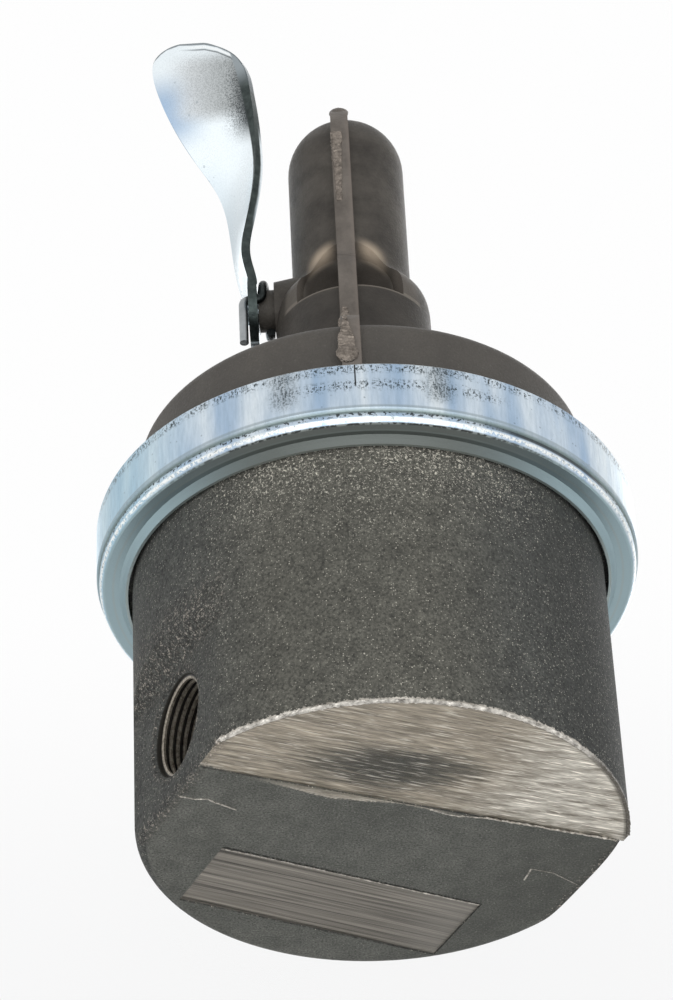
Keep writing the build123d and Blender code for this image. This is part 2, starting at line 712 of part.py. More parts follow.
# O-ring in the shaft's groove
with BuildPart() as shaft_ring:
    with BuildSketch(Plane.YZ.offset(-GROOVE_X - GROOVE_WIDTH / 2 + RUN_FIT)):
        with Locations((0, PRIMER_Z)):
            Circle(SHAFT_R + RUN_FIT)
            Circle(GROOVE_R, mode=Mode.SUBTRACT)
    extrude(amount=GROOVE_WIDTH - 2 * RUN_FIT)
shaft_ring.part.label = "shaft_ring"

# Primer lever: sheet with a round eye, a twisted neck and a broad round tip
coil_r = BOSS_R + COIL_WIRE_R + 3 * RUN_FIT
hook_z = PRIMER_Z - HOOK_BEND
eye = Vector(LEVER_X, 0, PRIMER_Z)
rungs = [(eye + Vector(*near), eye + Vector(*far)) for near, far in LEVER_RUNGS]
last_near, last_far = rungs[-1]
tip_centre = (last_near + last_far) * 0.5
tip_rise = (tip_centre - (rungs[-2][0] + rungs[-2][1]) * 0.5).normalized()
for angle in LEVER_TIP_ANGLES:
    centre = tip_centre + tip_rise * (LEVER_TIP * sin(radians(angle)))
    reach = (last_far - last_near) * (cos(radians(angle)) / 2)
    rungs.append((centre - reach, centre + reach))
with BuildPart() as primer_lever:
    for near, far in rungs:
        across = far - near
        square_up = across.cross(Vector(across.Y, -across.X, 0))
        upward = square_up * (1 if square_up.Z > 0 else -1)
        with BuildSketch(Plane(origin=(near + far) * 0.5, x_dir=across, z_dir=upward)):
            Rectangle(across.length, LEVER_SHEET)
    loft()
    with BuildSketch(Plane.YZ.offset(LEVER_X)):
        with Locations((0, PRIMER_Z)):
            Circle(LEVER_EYE_R)
    extrude(amount=LEVER_SHEET / 2, both=True)
    # The blade's root lies flush with the eye's inner face
    with BuildSketch(Plane.YZ.offset(LEVER_X + LEVER_SHEET / 2)):
        with Locations((0, PRIMER_Z)):
            Circle(LEVER_EYE_R)
    extrude(amount=LEVER_SHEET, mode=Mode.SUBTRACT)
    # Holes for the shaft's end and for the spring's hook
    with BuildSketch(Plane.YZ.offset(LEVER_X)):
        with Locations((0, PRIMER_Z)):
            Circle(SHAFT_R)
        with Locations((-coil_r, hook_z)):
            Circle(HOOK_HOLE_R)
    extrude(amount=LEVER_SHEET, both=True, mode=Mode.SUBTRACT)
primer_lever.part.label = "primer_lever"

# Primer spring: turns round the boss, and a hook through the lever and down its outer face
coil_start = -BOSS_END + COIL_WIRE_R + COIL_LENGTH
hook_x = LEVER_X - LEVER_SHEET / 2 - COIL_WIRE_R - 2 * RUN_FIT
with BuildPart() as primer_spring:
    with BuildLine() as coil:
        Helix(
            pitch=COIL_PITCH,
            height=COIL_LENGTH,
            radius=coil_r,
            center=(coil_start, 0, PRIMER_Z),
            direction=(-1, 0, 0),
            lefthand=True,
        )
    with BuildSketch(Plane(origin=coil.line @ 0, z_dir=coil.line % 0)):
        Circle(COIL_WIRE_R)
    sweep(path=coil.line, is_frenet=True)
    coil_end = coil.line @ 1
    with BuildLine(Plane.XZ.offset(-coil_end.Y)) as hook:
        first_x = coil_end.X - HOOK_BEND
        last_x = hook_x + HOOK_BEND
        RadiusArc((coil_end.X, PRIMER_Z), (first_x, hook_z), HOOK_BEND)
        Line((first_x, hook_z), (last_x, hook_z))
        RadiusArc((last_x, hook_z), (hook_x, hook_z - HOOK_BEND), -HOOK_BEND)
        Line((hook_x, hook_z - HOOK_BEND), (hook_x, hook_z - HOOK_LENGTH))
    with BuildSketch(Plane(origin=coil_end, z_dir=(0, 0, -1))):
        Circle(COIL_WIRE_R)
    sweep(path=hook.line)
primer_spring.part.label = "primer_spring"


def valve_set(name, plane):
    """Gasket, cage, disc and spring of one valve; the plane lies on the seat side, facing downstream."""
    with BuildPart() as cage:
        with BuildSketch(plane):
            Circle(POCKET_R - SEAT_FIT)
            Circle(SEAT_BORE, mode=Mode.SUBTRACT)
        extrude(amount=SEAT_THICKNESS)
        with BuildSketch(plane.offset(SEAT_THICKNESS)):
            Circle(POCKET_R - SEAT_FIT)
            Circle(POCKET_R - CAGE_WALL, mode=Mode.SUBTRACT)
        extrude(amount=CAGE_LENGTH - SEAT_THICKNESS)
        with BuildSketch(plane.offset(CAGE_LENGTH - BRIDGE)):
            Rectangle(2 * (POCKET_R - CAGE_WALL / 2), BRIDGE_WIDTH)
            Rectangle(BRIDGE_WIDTH, 2 * (POCKET_R - CAGE_WALL / 2))
            Circle(VALVE_SPRING_R + BRIDGE)
        extrude(amount=BRIDGE)
    cage.part.label = name + "_cage"
    with BuildPart() as disc:
        with BuildSketch(plane.offset(SEAT_THICKNESS)):
            Circle(VALVE_DISC_R)
        extrude(amount=VALVE_DISC)
    disc.part.label = name + "_disc"
    spring_length = CAGE_LENGTH - BRIDGE - SEAT_THICKNESS - VALVE_DISC
    spring = coil_spring(
        plane.offset(SEAT_THICKNESS + VALVE_DISC), spring_length, VALVE_SPRING_R, VALVE_WIRE_R, VALVE_TURNS
    )
    spring.label = name + "_spring"
    return [cage.part, disc.part, spring]


def valve_gasket(name, centre):
    """Flat ring on the pocket's floor."""
    with BuildPart() as gasket:
        with BuildSketch(Plane(origin=centre + Vector(0, 0, POCKET_Z))):
            Circle(POCKET_R - SEAT_FIT)
            Circle(PASSAGE_R, mode=Mode.SUBTRACT)
        extrude(amount=GASKET)
    gasket.part.label = name + "_gasket"
    return gasket.part


cage_bottom = Vector(0, 0, POCKET_Z + GASKET)
cage_top = Vector(0, 0, POCKET_Z + GASKET + CAGE_LENGTH)
valves = valve_set("inlet", Plane(origin=inlet_centre + cage_bottom, z_dir=(0, 0, 1)))
valves += valve_set("outlet", Plane(origin=outlet_centre + cage_top, z_dir=(0, 0, -1)))
valves += [valve_gasket("inlet", inlet_centre), valve_gasket("outlet", outlet_centre)]

pieces = [
    lower_body.part,
    upper_body.part,
    crimp_ring.part,
    diaphragm.part,
    upper_washer,
    lower_washer,
    pull_rod.part,
    lift_collar.part,
    spring_cap.part,
    diaphragm_spring,
    rod_seal.part,
    seal_retainer.part,
    rocker_arm.part,
    rocker_pin.part,
    pin_plugs.part,
    rocker_spring,
    primer_lever.part,
    primer_shaft.part,
    shaft_ring.part,
    primer_spring.part,
] + valves

os.makedirs("parts", exist_ok=True)
for piece in pieces:
    export_step(piece, f"parts/{piece.label}.step")
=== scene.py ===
# %% [markdown]
# # A marine fuel pump, dressed on its frame
# The pump's castings, ring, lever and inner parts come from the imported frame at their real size.
# This lesson sets the camera and the light, adds the small things a foundry and a drill leave
# behind, and gives each surface its finish: a dark die-cast barrel with fine sparkle, a browner
# upper casting, zinc-plated sheet and bare ground metal.

# %% Load the frame
import json
import math
import bpy
from mathutils import Matrix, Vector


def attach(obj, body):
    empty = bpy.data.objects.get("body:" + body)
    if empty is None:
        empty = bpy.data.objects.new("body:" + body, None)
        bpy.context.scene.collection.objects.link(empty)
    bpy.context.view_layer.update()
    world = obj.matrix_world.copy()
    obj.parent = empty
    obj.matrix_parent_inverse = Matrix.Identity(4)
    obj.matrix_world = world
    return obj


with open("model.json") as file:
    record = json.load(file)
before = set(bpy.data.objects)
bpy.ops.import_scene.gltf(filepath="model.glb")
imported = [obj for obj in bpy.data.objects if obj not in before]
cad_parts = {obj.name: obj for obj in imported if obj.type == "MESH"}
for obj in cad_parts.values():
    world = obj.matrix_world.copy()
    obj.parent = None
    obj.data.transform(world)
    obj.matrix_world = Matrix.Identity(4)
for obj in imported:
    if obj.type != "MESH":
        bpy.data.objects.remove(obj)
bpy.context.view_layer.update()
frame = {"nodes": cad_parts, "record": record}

MM = 0.001

# %% [markdown]
# ## Camera
# The photograph looks up at the pump from below and in front of its flat end. A long lens keeps
# the barrel's sides nearly parallel. The three angles turn a camera that would look along +Y.

# %% Camera at the photograph's angle
CAMERA_PLACE = Vector((0.0, -0.4251, -0.2699))
CAMERA_YAW = math.radians(-0.51)
CAMERA_PITCH = math.radians(37.56)
CAMERA_ROLL = math.radians(-2.88)
CAMERA_LENS = 137.5
SENSOR = 36.0


def camera_turn(yaw, pitch, roll):
    """World matrix of a camera from its heading, its rise above the horizon and its roll."""
    forward = Vector((math.sin(yaw) * math.cos(pitch), math.cos(yaw) * math.cos(pitch), math.sin(pitch)))
    level = Vector((math.cos(yaw), -math.sin(yaw), 0.0))
    upward = level.cross(forward)
    right = math.cos(roll) * level + math.sin(roll) * upward
    up = right.cross(forward)
    return Matrix((right, up, -forward)).transposed().to_4x4()


camera_data = bpy.data.cameras.new("camera")
camera_data.lens = CAMERA_LENS
camera_data.sensor_width = SENSOR
camera_data.clip_start = 0.01
camera = bpy.data.objects.new("camera", camera_data)
bpy.context.scene.collection.objects.link(camera)
camera.matrix_world = Matrix.Translation(CAMERA_PLACE) @ camera_turn(CAMERA_YAW, CAMERA_PITCH, CAMERA_ROLL)
bpy.context.scene.camera = camera
print("camera", camera.location[:], "lens", camera_data.lens)

# %% [markdown]
# ## World
# The background is plain white for the camera, for gloss and for glass, and a calmer grey for the
# light that falls on the pump, so that the castings keep their dark tone.

# %% White background with calm light
scene = bpy.context.scene
scene.view_settings.view_transform = "Standard"
WHITE = (1.0, 1.0, 1.0, 1.0)
AMBIENT_TONE = (0.96, 0.98, 1.0, 1.0)
AMBIENT = 0.32


def link(tree, source, target):
    """Joins two sockets."""
    tree.links.new(source, target)


def feed(tree, value, socket):
    """Links a socket, or writes a plain number."""
    if isinstance(value, (int, float)):
        socket.default_value = value
    else:
        link(tree, value, socket)


def math_node(tree, operation, *values):
    """Math node whose inputs are sockets or numbers; returns its output."""
    node = tree.nodes.new("ShaderNodeMath")
    node.operation = operation
    for place, value in enumerate(values):
        feed(tree, value, node.inputs[place])
    return node.outputs[0]


def background(tree, tone, strength):
    """Even light of one tone from all round."""
    node = tree.nodes.new("ShaderNodeBackground")
    node.inputs["Color"].default_value = tone
    node.inputs["Strength"].default_value = strength
    return node.outputs[0]


world = bpy.data.worlds.new("studio")
scene.world = world
world.use_nodes = True
sky = world.node_tree
sky.nodes.clear()
seen = background(sky, WHITE, 1.0)
ambient = background(sky, AMBIENT_TONE, AMBIENT)
ray = sky.nodes.new("ShaderNodeLightPath").outputs
any_seen = math_node(sky, "MAXIMUM", ray["Is Camera Ray"], ray["Is Glossy Ray"])
any_clear = math_node(sky, "MAXIMUM", any_seen, ray["Is Transmission Ray"])
choose = sky.nodes.new("ShaderNodeMixShader")
out = sky.nodes.new("ShaderNodeOutputWorld")
link(sky, any_clear, choose.inputs[0])
link(sky, ambient, choose.inputs[1])
link(sky, seen, choose.inputs[2])
link(sky, choose.outputs[0], out.inputs["Surface"])
print("world light", AMBIENT)

# %% [markdown]
# ## Floor and backdrop
# The floor lies a hair under the flat end, clear of its burrs. The photograph looks from below it,
# so it shows only from above. Behind the pump stands a sheet of paper, faint and a little greyer
# low down, as the photograph's ground is. Both are one-sided: the Backfacing output of Geometry
# tells a shader which side it is on.

# %% Paper that is white on one side and clear on the other
FLOOR_SIZE = 3.0
FLOOR_Z = -0.3 * MM
BACKDROP_Y = 0.085
SHADE_TOP = 0.110
SHADE_BOTTOM = 0.020
FLOOR_SHARE = (1.0, 1.0)
# The backdrop's share of grey paper is larger low down: a painted soft shadow.
BACKDROP_SHADOW_SHARE = (0.14, 0.02)
PAPER_TONE = (0.86, 0.86, 0.88, 1.0)
UPRIGHT = (math.radians(90.0), 0.0, 0.0)


def split(tree, vector):
    """The X, Y and Z of a vector."""
    node = tree.nodes.new("ShaderNodeSeparateXYZ")
    link(tree, vector, node.inputs["Vector"])
    return node.outputs


def object_place(tree):
    """The piece's own coordinates in metres."""
    return tree.nodes.new("ShaderNodeTexCoord").outputs["Object"]


def paper_material(name, thick, thin):
    """Pale matte paper on its front for the camera, clear behind, thinner towards the sheet's top."""
    paper = bpy.data.materials.new(name)
    paper.use_nodes = True
    tree = paper.node_tree
    tree.nodes.clear()
    face = tree.nodes.new("ShaderNodeBsdfDiffuse")
    face.inputs["Color"].default_value = PAPER_TONE
    clear = tree.nodes.new("ShaderNodeBsdfTransparent")
    ray = tree.nodes.new("ShaderNodeLightPath").outputs
    side = tree.nodes.new("ShaderNodeNewGeometry").outputs
    front = math_node(tree, "SUBTRACT", ray["Is Camera Ray"], side["Backfacing"])
    front.node.use_clamp = True
    share = tree.nodes.new("ShaderNodeMapRange")
    share.interpolation_type = "SMOOTHSTEP"
    share.inputs["From Min"].default_value = SHADE_BOTTOM
    share.inputs["From Max"].default_value = SHADE_TOP
    share.inputs["To Min"].default_value = thick
    share.inputs["To Max"].default_value = thin
    link(tree, split(tree, object_place(tree))["Y"], share.inputs["Value"])
    both = tree.nodes.new("ShaderNodeMixShader")
    out = tree.nodes.new("ShaderNodeOutputMaterial")
    link(tree, math_node(tree, "MULTIPLY", front, share.outputs["Result"]), both.inputs[0])
    link(tree, clear.outputs[0], both.inputs[1])
    link(tree, face.outputs[0], both.inputs[2])
    link(tree, both.outputs[0], out.inputs["Surface"])
    return paper


def paper_sheet(name, place, turn, share):
    """Large square of paper on the stage, with its share of paper low down and high up."""
    bpy.ops.object.select_all(action="DESELECT")
    bpy.ops.mesh.primitive_plane_add(size=FLOOR_SIZE, location=place, rotation=turn)
    sheet = bpy.context.object
    sheet.name = name
    sheet.data.materials.append(paper_material(name + "_paper", *share))
    return sheet


paper_sheet("floor", (0.0, 0.0, FLOOR_Z), (0.0, 0.0, 0.0), FLOOR_SHARE)
paper_sheet("backdrop", (0.0, BACKDROP_Y, 0.0), UPRIGHT, BACKDROP_SHADOW_SHARE)
print("floor and backdrop", FLOOR_SIZE, "m wide")

# %% [markdown]
# ## Soft boxes
# Large soft lamps stand round the pump as in a product picture: a broad one low behind the camera,
# weak ones at the left and right, and one behind that lights the back for other views. They are
# large so that plated sheet, which mirrors them, isn't burnt out by a small bright patch.

# %% Studio lamps
def soft_box(name, place, aim, size, power):
    """Square area lamp at a place, turned to face a point."""
    data = bpy.data.lights.new(name, "AREA")
    data.shape = "SQUARE"
    data.size = size
    data.energy = power
    lamp = bpy.data.objects.new(name, data)
    scene.collection.objects.link(lamp)
    lamp.location = place
    lamp.rotation_euler = (Vector(aim) - Vector(place)).to_track_quat("-Z", "Y").to_euler()
    return lamp


PUMP_MIDDLE = (0.0, 0.0, 0.06)
soft_box("front_box", (0.05, -0.80, -0.45), PUMP_MIDDLE, 1.2, 6.4)
soft_box("left_box", (-0.90, -0.10, 0.10), PUMP_MIDDLE, 1.0, 0.5)
soft_box("right_box", (0.90, -0.10, 0.10), PUMP_MIDDLE, 1.0, 0.25)
soft_box("back_box", (0.15, 0.80, 0.55), PUMP_MIDDLE, 1.0, 4.0)

# %% [markdown]
# ## Small things that shape the castings
# A pipe thread is a helix, too fine for the frame's solids, so it is modelled here: a ridge with a
# broad flat crest is drawn once, and a Screw modifier winds it down the bore. Doing it with a
# modifier keeps the pitch exact, where pushing a section round by hand would leave seams.

# %% Helpers for a new piece
def fresh():
    """Nothing selected and nothing in edit mode."""
    if bpy.context.object and bpy.context.object.mode != "OBJECT":
        bpy.ops.object.mode_set(mode="OBJECT")
    bpy.ops.object.select_all(action="DESELECT")


def apply_place():
    """Writes the active object's place, turn and scale into its mesh."""
    bpy.ops.object.transform_apply(location=True, rotation=True, scale=True)


def close_up(name, body, merge=0.002 * MM):
    """Merges doubles, turns normals outward and lets the piece ride on a body."""
    piece = bpy.context.object
    if piece.mode != "EDIT":
        bpy.ops.object.mode_set(mode="EDIT")
    bpy.ops.mesh.select_all(action="SELECT")
    bpy.ops.mesh.remove_doubles(threshold=merge)
    bpy.ops.mesh.normals_make_consistent(inside=False)
    bpy.ops.object.mode_set(mode="OBJECT")
    piece.name = name
    piece.data.name = name
    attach(piece, body)
    print(name, len(piece.data.polygons), "faces")
    return piece


def pick_vertices(piece, test):
    """Selects, in edit mode, the vertices that pass a test of their place."""
    bpy.ops.object.mode_set(mode="OBJECT")
    for part in (piece.data.polygons, piece.data.edges, piece.data.vertices):
        part.foreach_set("select", [False] * len(part))
    for vertex in piece.data.vertices:
        vertex.select = test(vertex.co)
    bpy.ops.object.mode_set(mode="EDIT")
    bpy.ops.mesh.select_mode(type="VERT")


# %% Pipe threads in the two ports
FLAT_AZIMUTH = math.radians(28.0)
PORT_MOUTH = 29.6 * MM
PORT_HEIGHT = 11.0 * MM
PORT_R = 6.84 * MM
THREAD_PITCH = 1.0 * MM
THREAD_TURNS = 15
THREAD_STEPS = 60
THREAD_START = 0.35 * MM
THREAD_DEPTH = 0.80
CREST_BLUNT = 0.36 * MM
TRIANGLE_R = THREAD_PITCH / math.sqrt(3.0)


def port_place(azimuth):
    """Matrix that puts a bore's mouth at the origin and its axis along +Z onto the barrel's flat."""
    outward = Vector((math.cos(azimuth), math.sin(azimuth), 0.0))
    side = Vector((-math.sin(azimuth), math.cos(azimuth), 0.0))
    turn = Matrix((side, Vector((0.0, 0.0, 1.0)), outward)).transposed().to_4x4()
    return Matrix.Translation(outward * PORT_MOUTH + Vector((0.0, 0.0, PORT_HEIGHT))) @ turn


def pipe_thread(name, azimuth):
    """Helical thread that lines a port from its chamfer inward."""
    fresh()
    bpy.ops.mesh.primitive_circle_add(vertices=3, radius=TRIANGLE_R, rotation=(0.0, 0.0, math.radians(90.0)))
    apply_place()
    piece = bpy.context.object
    piece.rotation_euler = (math.radians(90.0), 0.0, 0.0)
    piece.scale = (1.0, THREAD_DEPTH, 1.0)
    piece.location = (PORT_R - TRIANGLE_R * THREAD_DEPTH / 2, 0.0, -THREAD_START - THREAD_PITCH / 2)
    apply_place()
    pick_vertices(piece, lambda co: co.x > PORT_R - 0.01 * MM)
    bpy.ops.mesh.delete(type="EDGE_FACE")
    pick_vertices(piece, lambda co: co.x < PORT_R - 0.4 * TRIANGLE_R)
    bpy.ops.mesh.bevel(offset=CREST_BLUNT, segments=1, affect="VERTICES")
    bpy.ops.object.mode_set(mode="OBJECT")
    turns = piece.modifiers.new("turns", "SCREW")
    turns.axis = "Z"
    turns.angle = math.tau
    turns.screw_offset = -THREAD_PITCH
    turns.iterations = THREAD_TURNS
    turns.steps = turns.render_steps = THREAD_STEPS
    turns.use_merge_vertices = True
    turns.merge_threshold = 0.005 * MM
    turns.use_smooth_shade = False
    bpy.ops.object.modifier_apply(modifier="turns")
    piece.matrix_world = port_place(azimuth)
    apply_place()
    piece = close_up(name, "housing")
    bpy.ops.object.shade_smooth_by_angle(angle=math.radians(35.0))
    return piece


inlet_thread = pipe_thread("inlet_thread", FLAT_AZIMUTH + math.pi)
outlet_thread = pipe_thread("outlet_thread", FLAT_AZIMUTH)

# %% [markdown]
# ## Flash and burrs
# Where the die's halves met, a ragged skin of metal stands on the rib. Where the gate and the
# ejector pads were ground, the edges carry thin bright burrs. Each is a flat section pushed along
# a path by extrusion or spin, cut finer, and shaken at random, which is how such an edge looks.
# The blob at the rib's foot and the knob at its top are spheres, stretched and lightly shaken.
# Vertices are sorted by distance from a far point first, so that a fixed seed gives the same burr
# each run.

# %% Helpers for ragged metal
SORT_FROM = (0.113, -0.171, 0.237)


def section(place, turn, width, height):
    """Small rectangle in edit mode, the start of a drawn bar."""
    fresh()
    bpy.ops.mesh.primitive_plane_add(size=1.0)
    piece = bpy.context.object
    piece.scale = (width, height, 1.0)
    apply_place()
    piece.rotation_euler = turn
    piece.location = place
    apply_place()
    bpy.ops.object.mode_set(mode="EDIT")
    bpy.ops.mesh.select_all(action="SELECT")
    return piece


def push(steps):
    """Extrudes the selected end along each step in turn."""
    for step in steps:
        bpy.ops.mesh.extrude_region_move(TRANSFORM_OT_translate={"value": step})


def roughen(cuts, amount, seed):
    """Cuts every edge finer and shakes the vertices, in a fixed order, by a fixed random draw."""
    bpy.ops.mesh.select_all(action="SELECT")
    bpy.ops.mesh.subdivide(number_cuts=cuts)
    bpy.ops.mesh.select_all(action="SELECT")
    scene.cursor.location = SORT_FROM
    bpy.ops.mesh.sort_elements(type="CURSOR_DISTANCE", elements={"VERT"})
    scene.cursor.location = (0.0, 0.0, 0.0)
    bpy.ops.transform.vertex_random(offset=amount, seed=seed)


def end_point(u, v, z=0.0):
    """Place on the end face from its two axes, along and across the flats, in millimetres."""
    x = u * math.cos(FLAT_AZIMUTH) - v * math.sin(FLAT_AZIMUTH)
    y = u * math.sin(FLAT_AZIMUTH) + v * math.cos(FLAT_AZIMUTH)
    return Vector((x, y, z)) * MM


def steps_between(points, pieces):
    """Short moves along a polyline, each of its runs cut in equal parts."""
    moves = []
    for start, end in zip(points, points[1:]):
        moves += [(end - start) / pieces] * pieces
    return moves


# %% Flash on the rib, down the tower
RIB_FACE = -10.0 * MM
TOWER_BALL_Z = 117.9 * MM
FLASH_X = -1.05 * MM
FLASH_SIZE = (1.6 * MM, 0.50 * MM)
FLASH_OVER = math.radians(58.0)
FLASH_END = 104.4 * MM
FLASH_NARROWS = (0.94, 0.97, 1.0)
DROPS = 12
section((FLASH_X, RIB_FACE, TOWER_BALL_Z), (0.0, 0.0, 0.0), *FLASH_SIZE)
bpy.ops.mesh.spin(steps=10, angle=-FLASH_OVER, center=(0.0, 0.0, TOWER_BALL_Z), axis=(1.0, 0.0, 0.0))
tower_flash = bpy.context.object
pick_vertices(tower_flash, lambda co: abs(co.z - TOWER_BALL_Z) < 0.01 * MM and co.y < -9.0 * MM)
bpy.ops.mesh.select_mode(type="FACE")
for drop in range(DROPS):
    push([(0.0, 0.0, (FLASH_END - TOWER_BALL_Z) / DROPS)])
    bpy.ops.transform.resize(value=FLASH_NARROWS, center_override=(FLASH_X, RIB_FACE, 0.0))
roughen(2, 0.13 * MM, 4)
tower_flash = close_up("tower_flash", "housing")

# %% Flash on the collar and on the dome
COLLAR_FLASH = ((-1.15, -12.62, 81.6), (-1.10, -12.62, 77.5))
DOME_FLASH = ((-1.15, -32.82, 62.6), (-1.10, -32.82, 57.0))
STRIP_THICK = 0.45 * MM
STRIP_SHAKE = 0.12 * MM
STRIP_STEPS = 8


def rib_flash(name, ends, width, seed):
    """Ragged strip down the rib, narrow at its top."""
    top, bottom = (Vector(end) * MM for end in ends)
    section(top, (0.0, 0.0, 0.0), width / 3, STRIP_THICK)
    for move in steps_between([top, bottom], STRIP_STEPS):
        push([move])
        if bpy.context.object.dimensions.x < width:
            bpy.ops.transform.resize(value=(1.3, 1.0, 1.0))
        bpy.ops.object.mode_set(mode="OBJECT")
        bpy.ops.object.mode_set(mode="EDIT")
    roughen(2, STRIP_SHAKE, seed)
    return close_up(name, "housing")


collar_flash = rib_flash("collar_flash", COLLAR_FLASH, 1.7 * MM, 7)
dome_flash = rib_flash("dome_flash", DOME_FLASH, 1.8 * MM, 9)

# %% Blob at the rib's foot and knob at its top
BLOB_PLACE = (-1.05 * MM, -32.9 * MM, 56.3 * MM)
BLOB_HALF = (1.50 * MM, 0.55 * MM, 1.50 * MM)
KNOB_X = -0.5 * MM
KNOB_LEAN = math.radians(37.6)
KNOB_SUNK = 0.37 * MM
KNOB_REACH = -RIB_FACE - KNOB_SUNK
KNOB_PLACE = (KNOB_X, -KNOB_REACH * math.sin(KNOB_LEAN), TOWER_BALL_Z + KNOB_REACH * math.cos(KNOB_LEAN))
KNOB_HALF = (1.45 * MM, 2.40 * MM, 0.85 * MM)


def lump(name, place, half, lean, shake, seed):
    """Uneven lump on the upper casting, longer or shorter along each axis, and leaned over."""
    fresh()
    bpy.ops.mesh.primitive_uv_sphere_add(segments=28, ring_count=16, radius=1.0)
    piece = bpy.context.object
    piece.scale = half
    apply_place()
    piece.rotation_euler = (lean, 0.0, 0.0)
    piece.location = place
    apply_place()
    bpy.ops.object.mode_set(mode="EDIT")
    bpy.ops.mesh.select_all(action="SELECT")
    bpy.ops.transform.vertex_random(offset=shake, seed=seed)
    piece = close_up(name, "housing")
    bpy.ops.object.shade_smooth_by_angle(angle=math.radians(40.0))
    return piece


rib_blob = lump("rib_blob", BLOB_PLACE, BLOB_HALF, 0.0, 0.12 * MM, 5)
rib_knob = lump("rib_knob", KNOB_PLACE, KNOB_HALF, KNOB_LEAN, 0.04 * MM, 6)

# %% [markdown]
# ## Edges on the end face
# The ground crescent ends in a ragged border, and its outer rim is a bright broken edge. A thin
# burr lies along the ground rectangle, and two small witness steps stand at the left and right.
# The paths are given in the end face's own axes, so that they follow the flats.

# %% Crescent border, rectangle burr and witness steps
CRESCENT_BORDER = [
    (-27.6, -7.5), (-23.9, -7.2), (-19.7, -7.3), (-15.4, -7.2), (-11.0, -7.05), (-5.9, -8.3), (-2.1, -9.4),
    (2.2, -9.5), (5.2, -9.2), (10.5, -10.4), (14.7, -10.8), (19.0, -11.2), (23.2, -11.6), (28.4, -12.1),
]
TORN_BORDER = CRESCENT_BORDER[7:]
RECTANGLE_EDGE = [(-18.4, 9.35), (-9.0, 9.25), (2.0, 9.2), (12.0, 9.2), (19.1, 9.15)]
LEFT_WITNESS = [(-29.1, 0.0), (-27.0, -0.1), (-25.5, -0.75), (-24.3, -0.4), (-21.0, 0.2)]
RIGHT_WITNESS = [(21.7, 1.2), (21.3, -1.6), (24.6, -1.8), (26.7, -1.1), (29.0, -0.4)]


def face_burr(name, path, width, height, shake, seed):
    """Ragged ridge along a path on the end face."""
    points = [end_point(u, v) for u, v in path]
    along = points[1] - points[0]
    heading = math.atan2(along.y, along.x)
    section(points[0], (math.radians(90.0), 0.0, math.radians(90.0) + heading), width, height)
    push(steps_between(points, 6))
    roughen(1, shake, seed)
    return close_up(name, "housing")


face_burrs = [
    face_burr("crescent_burr", TORN_BORDER, 0.20 * MM, 0.12 * MM, 0.14 * MM, 11),
    face_burr("rectangle_burr", RECTANGLE_EDGE, 0.14 * MM, 0.12 * MM, 0.07 * MM, 12),
    face_burr("left_witness", LEFT_WITNESS, 0.20 * MM, 0.16 * MM, 0.06 * MM, 13),
    face_burr("right_witness", RIGHT_WITNESS, 0.20 * MM, 0.16 * MM, 0.06 * MM, 14),
]

# %% Broken outer rim of the crescent
RIM_R = 32.35 * MM
RIM_START = math.radians(-127.5)
RIM_SWEEP = math.radians(-130.5)
RIM_STEPS = 150
RIM_Z = 0.18 * MM
RIM_SIZE = (0.42 * MM, 0.34 * MM)
rim_point = Vector((math.cos(RIM_START), math.sin(RIM_START), 0.0)) * RIM_R + Vector((0.0, 0.0, RIM_Z))
section(rim_point, (math.radians(90.0), 0.0, RIM_START), *RIM_SIZE)
bpy.ops.mesh.spin(steps=RIM_STEPS, angle=RIM_SWEEP, center=(0.0, 0.0, 0.0), axis=(0.0, 0.0, 1.0))
roughen(1, 0.11 * MM, 16)
rim_burr = close_up("rim_burr", "housing")

# %% [markdown]
# ## Shared effects
# Cast, ground and plated surfaces need the same few things at different strengths: slow changes
# of tone, a mottle, a fine grain, bright specks and brushed lines. They are node groups with named
# inputs and outputs, built once and placed in each material with its own numbers. Two more groups
# only measure: where a point lies round the pump's axis, and where it lies on the end face.

# %% Helpers for node groups
def new_group(name, numbers, outputs):
    """Empty shader group with a vector input, named numbers with defaults, and named outputs."""
    group = bpy.data.node_groups.new(name, "ShaderNodeTree")
    group.interface.new_socket("Vector", in_out="INPUT", socket_type="NodeSocketVector")
    for label, value in numbers:
        socket = group.interface.new_socket(label, in_out="INPUT", socket_type="NodeSocketFloat")
        socket.default_value = value
    for label in outputs:
        group.interface.new_socket(label, in_out="OUTPUT", socket_type="NodeSocketFloat")
    entry = group.nodes.new("NodeGroupInput")
    leave = group.nodes.new("NodeGroupOutput")
    return group, entry.outputs, leave.inputs


def times(tree, *values):
    """Product of several sockets or numbers."""
    product = values[0]
    for value in values[1:]:
        product = math_node(tree, "MULTIPLY", product, value)
    return product


def ramp(tree, value, low, high):
    """Smooth step that is 0 at the first value and 1 at the second."""
    node = tree.nodes.new("ShaderNodeMapRange")
    node.interpolation_type = "SMOOTHSTEP"
    feed(tree, low, node.inputs["From Min"])
    feed(tree, high, node.inputs["From Max"])
    link(tree, value, node.inputs["Value"])
    return node.outputs["Result"]


def window(tree, value, low, high, soft):
    """1 between two values, with a soft step of a given width at each."""
    return times(tree, ramp(tree, value, low - soft, low + soft), ramp(tree, value, high + soft, high - soft))


def noise(tree, vector, scale, detail=3.0, roughness=0.55):
    """Noise spread over 0 to 1, at a scale in features per metre."""
    node = tree.nodes.new("ShaderNodeTexNoise")
    node.inputs["Detail"].default_value = detail
    node.inputs["Roughness"].default_value = roughness
    link(tree, vector, node.inputs["Vector"])
    feed(tree, scale, node.inputs["Scale"])
    spread = tree.nodes.new("ShaderNodeMapRange")
    spread.inputs["From Min"].default_value = 0.28
    spread.inputs["From Max"].default_value = 0.72
    link(tree, node.outputs["Fac"], spread.inputs["Value"])
    return spread.outputs["Result"]


